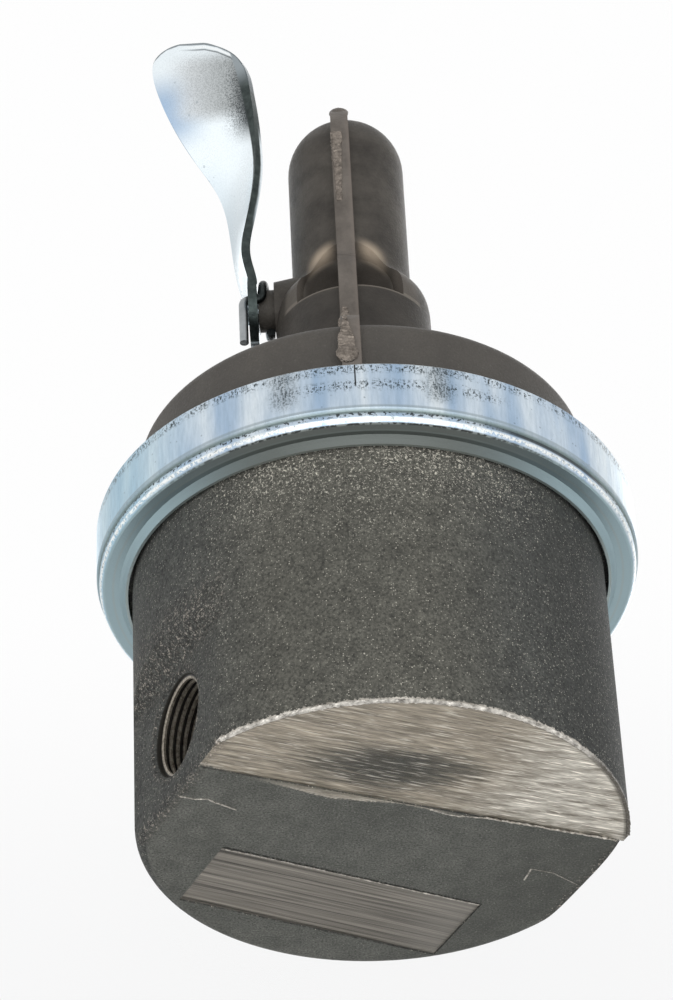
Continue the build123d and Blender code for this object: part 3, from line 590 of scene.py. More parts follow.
# %% Group for a cast skin: slow tone, mottle and fine grain
CAST_NUMBERS = (("Cloud Scale", 60.0), ("Mottle Scale", 420.0), ("Grain Scale", 2400.0))
cast_skin, given, result = new_group("cast_skin", CAST_NUMBERS, ("Tone", "Mottle", "Grain"))
link(cast_skin, noise(cast_skin, given["Vector"], given["Cloud Scale"], 4.0), result["Tone"])
link(cast_skin, noise(cast_skin, given["Vector"], given["Mottle Scale"], 5.0, 0.65), result["Mottle"])
link(cast_skin, noise(cast_skin, given["Vector"], given["Grain Scale"], 2.0, 0.7), result["Grain"])
print("group", cast_skin.name)


# %% Group for specks: small lit cells and the crests of a coarser noise
SPECK_NUMBERS = (("Density", 0.08), ("Coarse Scale", 2900.0), ("Fine Scale", 5200.0))


def speck_layer(tree, vector, scale, density):
    """Soft dots at random places, of which only a share is lit, each to its own strength."""
    cells = tree.nodes.new("ShaderNodeTexVoronoi")
    link(tree, vector, cells.inputs["Vector"])
    link(tree, scale, cells.inputs["Scale"])
    colours = tree.nodes.new("ShaderNodeSeparateColor")
    link(tree, cells.outputs["Color"], colours.inputs["Color"])
    dot = ramp(tree, cells.outputs["Distance"], 0.48, 0.22)
    chosen = math_node(tree, "LESS_THAN", colours.outputs["Red"], density)
    strength = math_node(tree, "POWER", colours.outputs["Green"], 1.6)
    strength = math_node(tree, "MULTIPLY_ADD", strength, 0.85, 0.15)
    return times(tree, dot, chosen, strength)


specks, given, result = new_group("specks", SPECK_NUMBERS, ("Specks",))
fine = speck_layer(specks, given["Vector"], given["Fine Scale"], times(specks, given["Density"], 0.6))
threshold = math_node(specks, "MULTIPLY_ADD", given["Density"], -0.40, 0.94)
coarse = noise(specks, given["Vector"], given["Coarse Scale"], 3.0, 0.8)
crest = math_node(specks, "SUBTRACT", coarse, threshold)
both = math_node(specks, "MAXIMUM", ramp(specks, crest, -0.02, 0.22), times(specks, fine, 0.8))
link(specks, both, result["Specks"])
print("group", specks.name)

# %% Group for brushed lines along one direction
BRUSH_NUMBERS = (("Angle", 0.0), ("Along", 45.0), ("Across", 1300.0))
FINER = (("Streaks", 1.0), ("Lines", 2.8))
brushed, given, result = new_group("brushed", BRUSH_NUMBERS, ("Streaks", "Lines"))
turn = brushed.nodes.new("ShaderNodeVectorRotate")
turn.rotation_type = "Z_AXIS"
link(brushed, given["Vector"], turn.inputs["Vector"])
link(brushed, times(brushed, given["Angle"], -1.0), turn.inputs["Angle"])
for label, finer in FINER:
    stretch = brushed.nodes.new("ShaderNodeCombineXYZ")
    link(brushed, times(brushed, given["Along"], finer), stretch.inputs["X"])
    link(brushed, times(brushed, given["Across"], finer), stretch.inputs["Y"])
    link(brushed, given["Along"], stretch.inputs["Z"])
    scaled = brushed.nodes.new("ShaderNodeVectorMath")
    scaled.operation = "MULTIPLY"
    link(brushed, turn.outputs["Vector"], scaled.inputs[0])
    link(brushed, stretch.outputs["Vector"], scaled.inputs[1])
    link(brushed, noise(brushed, scaled.outputs["Vector"], 1.0, 3.0, 0.6), result[label])
print("group", brushed.name)

# %% Groups that measure, in millimetres and degrees
TO_MM = 1000.0
U_AXIS = (math.cos(FLAT_AZIMUTH), math.sin(FLAT_AZIMUTH))
V_AXIS = (-math.sin(FLAT_AZIMUTH), math.cos(FLAT_AZIMUTH))
round_place, given, result = new_group("round_place", (), ("Angle", "Arc", "Radius", "Height"))
axes = split(round_place, given["Vector"])
turned = math_node(round_place, "ARCTAN2", axes["X"], times(round_place, axes["Y"], -1.0))
across_square = math_node(round_place, "POWER", axes["X"], 2.0)
radius_square = math_node(round_place, "MULTIPLY_ADD", axes["Y"], axes["Y"], across_square)
radius = times(round_place, math_node(round_place, "SQRT", radius_square), TO_MM)
link(round_place, math_node(round_place, "DEGREES", turned), result["Angle"])
link(round_place, times(round_place, turned, radius), result["Arc"])
link(round_place, radius, result["Radius"])
link(round_place, times(round_place, axes["Z"], TO_MM), result["Height"])

end_place, given, result = new_group("end_place", (), ("U", "V", "Height"))
axes = split(end_place, given["Vector"])
for label, (from_x, from_y) in (("U", U_AXIS), ("V", V_AXIS)):
    part = times(end_place, axes["Y"], from_y * TO_MM)
    whole = math_node(end_place, "MULTIPLY_ADD", axes["X"], from_x * TO_MM, part)
    link(end_place, whole, result[label])
link(end_place, times(end_place, axes["Z"], TO_MM), result["Height"])
print("groups", round_place.name, end_place.name)

# %% Helpers for materials
def shade(red, green, blue):
    """Linear colour of a tone given as it is seen, from 0 to 255."""
    return tuple(((value / 255.0 + 0.055) / 1.055) ** 2.4 for value in (red, green, blue))


def new_material(name):
    """Material with one Principled shader; returns the material, its tree and the shader."""
    material = bpy.data.materials.new(name)
    material.use_nodes = True
    tree = material.node_tree
    tree.nodes.clear()
    shader = tree.nodes.new("ShaderNodeBsdfPrincipled")
    out = tree.nodes.new("ShaderNodeOutputMaterial")
    link(tree, shader.outputs["BSDF"], out.inputs["Surface"])
    return material, tree, shader


def place_group(tree, group, vector, **values):
    """Outputs of a group fed by a vector, with its numbers set by name."""
    node = tree.nodes.new("ShaderNodeGroup")
    node.node_tree = group
    link(tree, vector, node.inputs["Vector"])
    for label, value in values.items():
        feed(tree, value, node.inputs[label.replace("_", " ")])
    return node.outputs


def mix(tree, factor, first, second):
    """Mix of two colours or of two numbers, each a socket or a plain value."""
    node = tree.nodes.new("ShaderNodeMix")
    coloured = isinstance(second, tuple) or getattr(second, "type", "") == "RGBA"
    node.data_type = "RGBA" if coloured else "FLOAT"
    feed(tree, factor, node.inputs[0])
    for place, value in zip((6, 7) if coloured else (2, 3), (first, second)):
        if isinstance(value, tuple):
            node.inputs[place].default_value = (*value, 1.0)
        else:
            feed(tree, value, node.inputs[place])
    return node.outputs[2 if coloured else 0]


def cover(tree, look, mask, **finish):
    """Lays colour, rough, metal or height over the look so far, where the mask is 1."""
    for key, value in finish.items():
        look[key] = mix(tree, mask, look[key], value)


def tint(tree, look, tone, *masks):
    """Lays one tone, as it is seen, from 0 to 255, over the look where all the masks are 1."""
    cover(tree, look, times(tree, *masks), colour=shade(*tone))


def dress(tree, shader, look, depth):
    """Feeds a look into the shader: colour, roughness, metal, and a bump of a given depth."""
    link(tree, look["colour"], shader.inputs["Base Color"])
    feed(tree, look["rough"], shader.inputs["Roughness"])
    feed(tree, look["metal"], shader.inputs["Metallic"])
    bump = tree.nodes.new("ShaderNodeBump")
    bump.inputs["Distance"].default_value = depth
    link(tree, look["height"], bump.inputs["Height"])
    link(tree, bump.outputs["Normal"], shader.inputs["Normal"])


def off_middle(tree, across, along, middle):
    """Distance from a point, by one measure from it and another one less the point's own."""
    square = math_node(tree, "POWER", math_node(tree, "SUBTRACT", along, middle), 2.0)
    return math_node(tree, "SQRT", math_node(tree, "MULTIPLY_ADD", across, across, square))


def facing(tree, direction):
    """How far the surface faces a direction of the piece, from -1 to 1."""
    node = tree.nodes.new("ShaderNodeVectorMath")
    node.operation = "DOT_PRODUCT"
    link(tree, tree.nodes.new("ShaderNodeTexCoord").outputs["Normal"], node.inputs[0])
    node.inputs[1].default_value = direction
    return node.outputs["Value"]


def lookup(tree, value, points):
    """Height of a polyline over a value, read through a curve node."""
    (left, right), (low, high) = ((min(axis), max(axis)) for axis in zip(*points))
    into = tree.nodes.new("ShaderNodeMapRange")
    into.inputs["From Min"].default_value = left
    into.inputs["From Max"].default_value = right
    link(tree, value, into.inputs["Value"])
    curve = tree.nodes.new("ShaderNodeFloatCurve")
    line = curve.mapping.curves[0].points
    spots = [((x - left) / (right - left), (y - low) / (high - low)) for x, y in sorted(points)]
    line[0].location, line[1].location = spots[0], spots[-1]
    for spot in spots[1:-1]:
        line.new(*spot)
    for point in line:
        point.handle_type = "VECTOR"
    curve.mapping.update()
    link(tree, into.outputs["Result"], curve.inputs["Value"])
    return math_node(tree, "MULTIPLY_ADD", curve.outputs["Value"], high - low, low)


# %% [markdown]
# ## The barrel's skin
# The barrel is a matte graphite grey. Its tiny bright crystals are painted glints, crowding under the
# ring; its front carries painted light and its right side painted shade. A dielectric with a weak gloss
# keeps it dark at grazing angles, where a metal would turn pale.
# The ground places come over it as layers, each with a mask in millimetres, so that the same
# material covers the whole casting and every edge falls where the solid's edge is.

# %% Barrel: graphite skin, painted crystal glints, painted light and shade
GLINT_ANGLES = (-34.0, 42.0, 16.0)
GLINT_HEIGHTS = (24.0, 41.0)
LIT_FRONT_ANGLES = (-34.0, 26.0, 16.0)
SHADED_SIDE_ANGLES = (30.0, 62.0)
barrel_skin, tree, shader = new_material("barrel_skin")
place = object_place(tree)
skin = place_group(tree, cast_skin, place)
around = place_group(tree, round_place, place)
end = place_group(tree, end_place, place)
# Painted glints: bright specks of crystals, crowding in front under the ring.
in_front = window(tree, around["Angle"], *GLINT_ANGLES)
under_ring = times(tree, in_front, ramp(tree, around["Height"], *GLINT_HEIGHTS))
glint_crowd = math_node(tree, "MULTIPLY_ADD", skin["Tone"], 0.26, 0.14)
glint_crowd = math_node(tree, "MULTIPLY_ADD", under_ring, 0.62, glint_crowd)
crystal_glints = place_group(tree, specks, place, Density=glint_crowd, Coarse_Scale=2500.0, Fine_Scale=4400.0)
pits = place_group(tree, specks, place, Density=0.05, Coarse_Scale=1300.0, Fine_Scale=2900.0)
look = {
    "colour": mix(tree, skin["Mottle"], shade(92, 93, 91), shade(124, 125, 120)),
    "rough": mix(tree, skin["Grain"], 0.58, 0.76),
    "metal": 0.0,
    "height": skin["Grain"],
}
# Painted light: the front of the barrel is painted lighter, as if more lit there.
painted_front_light = times(tree, window(tree, around["Angle"], *LIT_FRONT_ANGLES), 0.5)
cover(tree, look, painted_front_light, colour=mix(tree, skin["Mottle"], shade(120, 117, 105), shade(152, 148, 134)))
# Painted shade: the barrel's right side is painted darker, as if less lit.
tint(tree, look, (72, 73, 72), ramp(tree, around["Angle"], *SHADED_SIDE_ANGLES), 0.6)
tint(tree, look, (50, 51, 50), skin["Grain"], 0.8)
tint(tree, look, (40, 40, 38), pits["Specks"], 0.7)
tint(tree, look, (236, 231, 216), crystal_glints["Specks"])
print("barrel skin", len(tree.nodes), "nodes")

# %% Barrel: the cast end face
FACE_DEPTH = 0.32
FACING_DOWN = (0.80, 0.95)
DARKER_U = (6.0, 24.0)
downward = ramp(tree, facing(tree, (0.0, 0.0, -1.0)), *FACING_DOWN)
on_face = times(tree, downward, ramp(tree, end["Height"], FACE_DEPTH + 0.2, FACE_DEPTH))
blotches = place_group(tree, cast_skin, place, Cloud_Scale=55.0, Mottle_Scale=240.0)
face_tone = mix(tree, blotches["Mottle"], shade(122, 123, 117), shade(166, 166, 158))
cover(tree, look, on_face, colour=face_tone)
tint(tree, look, (96, 97, 93), on_face, blotches["Tone"], 0.45)
tint(tree, look, (62, 63, 59), on_face, noise(tree, place, 3400.0, 2.0, 0.8), 0.85)
tint(tree, look, (84, 85, 81), on_face, ramp(tree, end["U"], *DARKER_U), 0.4)
# Painted glints of crystals on the end face too.
tint(tree, look, (190, 188, 180), on_face, crystal_glints["Specks"], 0.6)
print("end face", len(tree.nodes), "nodes")

# %% Barrel: where the crescent is ground, and its dark patch
BRUSH_AZIMUTH = math.radians(23.0)
STEP_HEIGHTS = (0.08, 0.18)
STEP_V = (1.0, -1.0)
SMEAR_U = (-19.0, 3.0, 5.0)
PATCH_AXES = ((0.087, -0.026, 0.16), (0.063, 0.21, 3.75))
PATCH_EDGE = (2.3, 0.6)
HIGHLIGHT_END_U = (6.0, 20.0)
border = math_node(tree, "MULTIPLY_ADD", skin["Grain"], 0.5, lookup(tree, end["U"], CRESCENT_BORDER))
inside = math_node(tree, "SUBTRACT", border, end["V"])
recessed = times(tree, ramp(tree, end["Height"], *STEP_HEIGHTS), ramp(tree, end["V"], *STEP_V))
smear = times(tree, window(tree, end["U"], *SMEAR_U), 0.75)
crescent = math_node(tree, "MAXIMUM", recessed, smear)
crescent = times(tree, on_face, crescent, ramp(tree, inside, -0.1, 0.3))
brush = place_group(tree, brushed, place, Angle=BRUSH_AZIMUTH, Along=130.0, Across=1900.0)
broad = place_group(tree, brushed, place, Angle=BRUSH_AZIMUTH - 0.12, Along=60.0, Across=330.0)
patch = []
for from_u, from_v, shift in PATCH_AXES:
    slant = math_node(tree, "MULTIPLY_ADD", end["U"], from_u, shift)
    patch.append(math_node(tree, "MULTIPLY_ADD", end["V"], from_v, slant))
patch_far = math_node(tree, "MULTIPLY_ADD", patch[0], patch[0], math_node(tree, "POWER", patch[1], 2.0))
dark_patch = ramp(tree, math_node(tree, "MULTIPLY_ADD", brush["Streaks"], 1.1, patch_far), *PATCH_EDGE)
# Painted highlight: the brushed metal grows brighter towards the right end, as if reflecting light.
highlight_end = ramp(tree, math_node(tree, "MULTIPLY_ADD", brush["Streaks"], 8.0, end["U"]), *HIGHLIGHT_END_U)
print("crescent places", len(tree.nodes), "nodes")

# %% Barrel: brushed tones of the crescent, with a painted highlight and glints to the right
ground = mix(tree, brush["Streaks"], shade(112, 105, 93), shade(226, 214, 194))
ground = mix(tree, times(tree, broad["Streaks"], 0.55), ground, shade(108, 104, 96))
highlight_tone = mix(tree, broad["Lines"], shade(122, 115, 103), shade(255, 250, 238))
ground = mix(tree, highlight_end, ground, highlight_tone)
ground = mix(tree, dark_patch, ground, shade(68, 69, 65))
ground = mix(tree, times(tree, brush["Lines"], 0.65), ground, shade(78, 73, 64))
scratches = place_group(tree, brushed, place, Angle=BRUSH_AZIMUTH, Along=240.0, Across=3200.0)
# Painted glints on the scratches, stronger towards the right end.
glints = ramp(tree, scratches["Streaks"], 0.60, 0.90)
glints = times(tree, glints, math_node(tree, "MULTIPLY_ADD", highlight_end, 0.6, 0.4))
ground = mix(tree, glints, ground, shade(250, 244, 232))
smooth = mix(tree, brush["Lines"], 0.34, 0.48)
cover(tree, look, crescent, colour=ground, metal=1.0, rough=smooth, height=brush["Lines"])
tint(tree, look, (214, 206, 194), crescent, ramp(tree, inside, 1.0, 0.1), skin["Grain"])
print("crescent", len(tree.nodes), "nodes")

# %% Barrel: the crescent's broken outer edge
EDGE_HIGH = 0.90
EDGE_RADII = (31.9, 32.2)
LINE_RADII = (31.6, 31.9)
DULL_U = (14.0, 21.0)
ragged = math_node(tree, "MULTIPLY_ADD", skin["Grain"], -0.5, EDGE_HIGH)
low_wall = ramp(tree, math_node(tree, "SUBTRACT", ragged, end["Height"]), -0.05, 0.15)
broken_edge = times(tree, low_wall, ramp(tree, inside, 0.2, 1.5), ramp(tree, around["Radius"], *EDGE_RADII))
edge_tone = mix(tree, blotches["Mottle"], shade(118, 113, 104), shade(228, 222, 212))
edge_tone = mix(tree, ramp(tree, end["U"], *DULL_U), edge_tone, shade(92, 89, 82))
cover(tree, look, broken_edge, colour=edge_tone, metal=0.9, rough=0.42)
tint(tree, look, (84, 80, 72), crescent, ramp(tree, around["Radius"], *LINE_RADII), 0.6)
print("crescent edge", len(tree.nodes), "nodes")

# %% Barrel: the ground rectangle
RECTANGLE_U = (-18.95, 19.35, 0.06)
RECTANGLE_V = (9.2, 23.2, 0.06)
STEP_SHADE_V = (8.75, 9.2, 0.12)
PALER_U = (8.0, 19.0)
along = window(tree, end["U"], *RECTANGLE_U)
rectangle = times(tree, on_face, along, window(tree, end["V"], *RECTANGLE_V))
rule = place_group(tree, brushed, place, Angle=FLAT_AZIMUTH, Along=30.0, Across=1900.0)
scraped = mix(tree, rule["Streaks"], shade(56, 54, 50), shade(164, 158, 148))
scraped = mix(tree, times(tree, rule["Lines"], 0.35), scraped, shade(70, 69, 65))
scraped = mix(tree, times(tree, ramp(tree, end["U"], *PALER_U), 0.4), scraped, shade(136, 133, 127))
smooth = mix(tree, rule["Lines"], 0.38, 0.52)
cover(tree, look, rectangle, colour=scraped, metal=0.8, rough=smooth, height=rule["Lines"])
# Painted shade: a patchy dark line along the rectangle's upper step.
step_shade_line = times(tree, on_face, along, window(tree, end["V"], *STEP_SHADE_V))
tint(tree, look, (38, 37, 35), step_shade_line, ramp(tree, skin["Grain"], 0.15, 0.5), 0.85)
print("rectangle", len(tree.nodes), "nodes")

# %% Barrel: rough run-out of the flats, the ports' edges, and painted shade in the bores
PORT_MIDDLE = PORT_HEIGHT * TO_MM
RUN_OUT_SIDE = (28.6, 29.4)
RUN_OUT_HEIGHTS = (18.6, 25.5, 1.6)
PORT_SIDE = (29.2, 29.5)
PORT_RADII = (6.6, 8.0, 0.6)
FOOT_SIDE = (27.9, 29.2)
FOOT_HEIGHTS = (3.0, 1.0)
SHADED_BORE_RADII = (7.1, 6.9)
SHADED_BORE_SIDE = (30.2, 29.4)
side = math_node(tree, "ABSOLUTE", end["U"])
run_out = times(tree, ramp(tree, side, *RUN_OUT_SIDE), window(tree, end["Height"], *RUN_OUT_HEIGHTS), 0.8)
port_far = off_middle(tree, end["V"], end["Height"], PORT_MIDDLE)
port_edge = times(tree, ramp(tree, side, *PORT_SIDE), window(tree, port_far, *PORT_RADII))
torn = place_group(tree, specks, place, Density=0.68, Coarse_Scale=1600.0, Fine_Scale=3200.0)
uneven = math_node(tree, "MULTIPLY_ADD", skin["Tone"], 1.6, end["Height"])
flat_foot = times(tree, ramp(tree, side, *FOOT_SIDE), ramp(tree, uneven, *FOOT_HEIGHTS))
rough_places = math_node(tree, "MAXIMUM", run_out, math_node(tree, "MAXIMUM", port_edge, flat_foot))
tint(tree, look, (48, 46, 43), rough_places, 0.55, skin["Grain"])
tint(tree, look, (206, 196, 184), rough_places, torn["Specks"])
# Painted shade inside the port bores.
tint(tree, look, (48, 46, 42), ramp(tree, port_far, *SHADED_BORE_RADII), ramp(tree, side, *SHADED_BORE_SIDE))
shader.inputs["Specular IOR Level"].default_value = 0.08
dress(tree, shader, look, 0.05 * MM)
print("barrel material", len(tree.nodes), "nodes")

# %% [markdown]
# ## The upper casting
# It comes from another die: browner, smoother, with soft highlights and almost no crystals. The
# rib's face is paler than the walls. The dome carries painted light and the collar painted shade.
# In the scoop the flared edge carries a painted highlight and the floor painted shade; the scoop's
# ends are painted lighter, and the collar's edge carries a painted highlight.

# %% Upper casting: brown skin, painted light on the dome, painted shade on the collar
DOME_HEIGHTS = (68.0, 62.0)
SHADED_COLLAR_HEIGHTS = (70.0, 86.8, 1.0)
upper_skin, tree, shader = new_material("upper_skin")
place = object_place(tree)
skin = place_group(tree, cast_skin, place, Mottle_Scale=200.0)
around = place_group(tree, round_place, place)
axes = split(tree, place)
x_mm = times(tree, axes["X"], TO_MM)
y_mm = times(tree, axes["Y"], TO_MM)
look = {
    "colour": mix(tree, skin["Mottle"], shade(60, 56, 52), shade(104, 99, 92)),
    "rough": mix(tree, skin["Grain"], 0.42, 0.58),
    "metal": 0.0,
    "height": skin["Grain"],
}
tint(tree, look, (66, 63, 60), skin["Tone"], 0.35)
grit = place_group(tree, specks, place, Density=0.22, Coarse_Scale=1700.0, Fine_Scale=2700.0)
dome = ramp(tree, around["Height"], *DOME_HEIGHTS)
# Painted light: the dome is painted paler, as if more lit.
tint(tree, look, (110, 106, 101), dome, 0.6)
tint(tree, look, (76, 73, 69), dome, noise(tree, place, 3600.0, 2.0, 0.8), 0.45)
# Painted shade: the collar is painted darker.
tint(tree, look, (60, 57, 54), window(tree, around["Height"], *SHADED_COLLAR_HEIGHTS), 0.4)
tint(tree, look, (150, 146, 138), dome, grit["Specks"], 0.22)
print("upper skin", len(tree.nodes), "nodes")

# %% Upper casting: rib
FRONT_Y = (-5.0, -6.2)
RIB_X = (-1.85, 0.85, 0.08)
RIB_LIT_X = (0.1, 0.7)
front = ramp(tree, y_mm, *FRONT_Y)
rib = times(tree, front, window(tree, x_mm, *RIB_X))
cover(tree, look, rib, colour=mix(tree, skin["Mottle"], shade(100, 94, 88), shade(142, 134, 126)))
tint(tree, look, (138, 128, 120), rib, ramp(tree, x_mm, *RIB_LIT_X), 0.6)
print("rib", len(tree.nodes), "nodes")

# %% Upper casting: painted shade on the scoop's floor, painted light on its flare and ends and on the collar's edge
SCOOP_X, SCOOP_Z = (-0.5, 89.5)
SCOOP_HEIGHTS = (86.6, 86.9)
FLOOR_ARCH = (7.6, 5.4)
FLOOR_HEIGHTS = (95.5, 93.0)
FLARE_ARCH = (6.8, 8.3, 1.3)
FLARE_HEIGHTS = (90.5, 94.0)
FLARE_SIDE = (2.2, 5.2, 1.2)
END_SIDE = (6.6, 10.0, 0.7)
END_HEIGHTS = (86.9, 93.0, 0.9)
COLLAR_HIGHLIGHT_HEIGHTS = (86.7, 87.4, 0.15)
COLLAR_RADII = (10.6, 11.0)
height = around["Height"]
arch = off_middle(tree, math_node(tree, "SUBTRACT", height, SCOOP_Z), x_mm, SCOOP_X)
side = math_node(tree, "ABSOLUTE", math_node(tree, "SUBTRACT", x_mm, SCOOP_X))
beside_rib = math_node(tree, "SUBTRACT", 1.0, rib)
above = times(tree, front, ramp(tree, height, *SCOOP_HEIGHTS), beside_rib)
# Painted shade on the scoop's floor.
scoop_floor_shade = times(tree, above, ramp(tree, arch, *FLOOR_ARCH), ramp(tree, height, *FLOOR_HEIGHTS))
tint(tree, look, (44, 38, 31), scoop_floor_shade, 0.75)
# Painted highlight on the scoop's flared edge.
flare_highlight = times(tree, above, window(tree, arch, *FLARE_ARCH), ramp(tree, height, *FLARE_HEIGHTS))
tint(tree, look, (226, 206, 182), flare_highlight, window(tree, side, *FLARE_SIDE), 0.9)
# Painted light: the scoop's ends are painted lighter to soften their shade.
scoop_end_light = times(tree, above, window(tree, side, *END_SIDE), window(tree, height, *END_HEIGHTS))
tint(tree, look, (122, 115, 107), scoop_end_light, 0.7)
# Painted highlight along the collar's rim.
collar_edge_highlight = times(tree, above, window(tree, height, *COLLAR_HIGHLIGHT_HEIGHTS))
tint(tree, look, (150, 142, 132), collar_edge_highlight, ramp(tree, around["Radius"], *COLLAR_RADII), 0.7)
shader.inputs["Specular IOR Level"].default_value = 0.18
dress(tree, shader, look, 0.035 * MM)
print("upper material", len(tree.nodes), "nodes")

# %% [markdown]
# ## Torn and cut metal
# Flash and burrs are the casting's own metal, freshly torn: pale, with dark hollows. The broken
# rim is brightest. The threads are cut metal, with painted shade at their roots and deeper down the bore.

# %% Flash and burr metal
def torn_metal(name, dark, light, rough, scale):
    """Torn metal between a dark hollow and a bright crest."""
    material, tree, shader = new_material(name)
    skin = place_group(tree, cast_skin, object_place(tree), Mottle_Scale=scale, Grain_Scale=2.2 * scale)
    colour = mix(tree, skin["Mottle"], dark, light)
    look = {
        "colour": mix(tree, times(tree, skin["Grain"], 0.4), colour, dark),
        "rough": rough,
        "metal": 0.85,
        "height": skin["Grain"],
    }
    dress(tree, shader, look, 0.05 * MM)
    return material


flash_metal = torn_metal("flash_metal", shade(78, 72, 66), shade(160, 150, 140), 0.45, 1500.0)
burr_metal = torn_metal("burr_metal", shade(96, 92, 84), shade(236, 230, 220), 0.38, 1900.0)
print("torn metals", flash_metal.name, burr_metal.name)

# %% Rim metal, duller at the right, and thread metal
RIM_DULL_U = (12.0, 19.0)
THREAD_SHADE_U = (16.0, 26.0)
SHADED_ROOT_RADII = (6.74, 6.58)
rim_metal, tree, shader = new_material("rim_metal")
place = object_place(tree)
end = place_group(tree, end_place, place)
skin = place_group(tree, cast_skin, place, Mottle_Scale=1100.0, Grain_Scale=2600.0)
bright = mix(tree, skin["Mottle"], shade(84, 80, 73), shade(250, 245, 236))
colour = mix(tree, ramp(tree, end["U"], *RIM_DULL_U), bright, shade(96, 92, 85))
look = {"colour": colour, "rough": 0.38, "metal": 0.85, "height": skin["Grain"]}
dress(tree, shader, look, 0.05 * MM)
thread_metal, tree, shader = new_material("thread_metal")
place = object_place(tree)
end = place_group(tree, end_place, place)
skin = place_group(tree, cast_skin, place)
# Painted shade: darker deeper down the bore and at the roots of the thread.
depth = ramp(tree, math_node(tree, "ABSOLUTE", end["U"]), *THREAD_SHADE_U)
off_axis = off_middle(tree, end["V"], end["Height"], PORT_MIDDLE)
cut = mix(tree, skin["Grain"], shade(104, 98, 89), shade(184, 176, 162))
cut = mix(tree, ramp(tree, off_axis, *SHADED_ROOT_RADII), shade(24, 23, 21), cut)
colour = mix(tree, depth, shade(44, 42, 38), cut)
look = {"colour": colour, "rough": 0.42, "metal": 0.8, "height": skin["Grain"]}
dress(tree, shader, look, 0.01 * MM)
print("cut metals", rim_metal.name, thread_metal.name)

# %% [markdown]
# ## The zinc-plated ring
# Rolled sheet steel with bright zinc: nearly white with a blue cast at the front, cyan to the
# left. Rolling left rows of short dark ticks, two flecked patches and one seam. The groove is
# grey-green, the bead bright with dark speckles above it, and the face under it dull with dark
# notches. Each is a band in height, in radius or in angle round the axis, so the marks stay
# where the tool left them.

# %% Ring: plated band
LEFT_ANGLES = (-30.0, -62.0)
SHADED_RIGHT_ANGLES = (50.0, 75.0)
ring_zinc, tree, shader = new_material("ring_zinc")
place = object_place(tree)
skin = place_group(tree, cast_skin, place, Cloud_Scale=90.0, Mottle_Scale=700.0)
around = place_group(tree, round_place, place)
height = around["Height"]
unrolled = tree.nodes.new("ShaderNodeCombineXYZ")
link(tree, around["Arc"], unrolled.inputs["X"])
link(tree, times(tree, height, 0.14), unrolled.inputs["Y"])
band = unrolled.outputs["Vector"]
drawn = noise(tree, band, 2.2, 4.0, 0.65)
wide = noise(tree, band, 0.22, 2.0, 0.5)
look = {
    "colour": mix(tree, wide, shade(150, 176, 204), shade(232, 239, 242)),
    "rough": mix(tree, drawn, 0.26, 0.40),
    "metal": 1.0,
    "height": skin["Grain"],
}
tint(tree, look, (150, 190, 206), ramp(tree, around["Angle"], *LEFT_ANGLES), 0.7)
# Painted shade: the ring's right side is painted darker.
tint(tree, look, (150, 170, 178), ramp(tree, around["Angle"], *SHADED_RIGHT_ANGLES), 0.5)
tint(tree, look, (132, 150, 164), drawn, 0.42)
print("ring band", len(tree.nodes), "nodes")

# %% Ring: ticks in two rows
UPPER_ROW = ((49.2, 50.5, 0.45), (-75.0, 75.0, 4.0))
LOWER_ROW = ((46.4, 47.8, 0.6), (-16.0, 30.0, 4.0))
ticks = noise(tree, band, 5.5, 3.0, 0.7)
worn_away = ramp(tree, noise(tree, band, 0.9, 2.0), 0.10, 0.50)
dots = ramp(tree, noise(tree, place, 2700.0, 2.0, 0.7), 0.42, 0.62)
dashes = times(tree, ramp(tree, ticks, 0.30, 0.55), dots, worn_away)
rows = []
for heights, angles in (UPPER_ROW, LOWER_ROW):
    rows.append(times(tree, window(tree, height, *heights), window(tree, around["Angle"], *angles)))
tint(tree, look, (54, 62, 64), math_node(tree, "MAXIMUM", *rows), dashes)
print("ring ticks", len(tree.nodes), "nodes")

# %% Ring: flecked patches, seam and lines
RIGHT_PATCH = (14.5, 19.0, 2.2)
LEFT_PATCH = (-17.2, -13.0, 2.4)
PATCH_HEIGHTS = (43.8, 46.0)
SEAM_ARC = (-0.30, -0.10, 0.06)
SEAM_HEIGHTS = (46.9, 50.8, 0.3)
FILLET_SHADE_HEIGHTS = (42.9, 43.7, 0.15)
TOP_EDGE_HIGHLIGHT = (50.72, 50.9, 0.06)
uneven = times(tree, noise(tree, place, 3400.0, 3.0, 0.75), math_node(tree, "ADD", ticks, 0.45))
flecks = ramp(tree, uneven, 0.42, 0.66)
patches = [window(tree, around["Angle"], *angles) for angles in (RIGHT_PATCH, LEFT_PATCH)]
patches = times(tree, math_node(tree, "MAXIMUM", *patches), ramp(tree, height, *PATCH_HEIGHTS))
tint(tree, look, (112, 124, 134), patches, 0.45)
tint(tree, look, (58, 66, 68), patches, flecks, 0.8)
scattered = place_group(tree, specks, place, Density=0.05, Coarse_Scale=1100.0, Fine_Scale=2300.0)
tint(tree, look, (84, 92, 96), scattered["Specks"], 0.7)
tint(tree, look, (40, 42, 42), window(tree, around["Arc"], *SEAM_ARC), window(tree, height, *SEAM_HEIGHTS))
# Painted shade: grey over the fillet above the groove tones down its highlight.
fillet_shade = times(tree, window(tree, height, *FILLET_SHADE_HEIGHTS), 0.6)
cover(tree, look, fillet_shade, colour=shade(138, 150, 154), rough=0.5)
# Painted highlight along the band's top edge.
tint(tree, look, (226, 234, 236), window(tree, height, *TOP_EDGE_HIGHLIGHT))
print("ring marks", len(tree.nodes), "nodes")

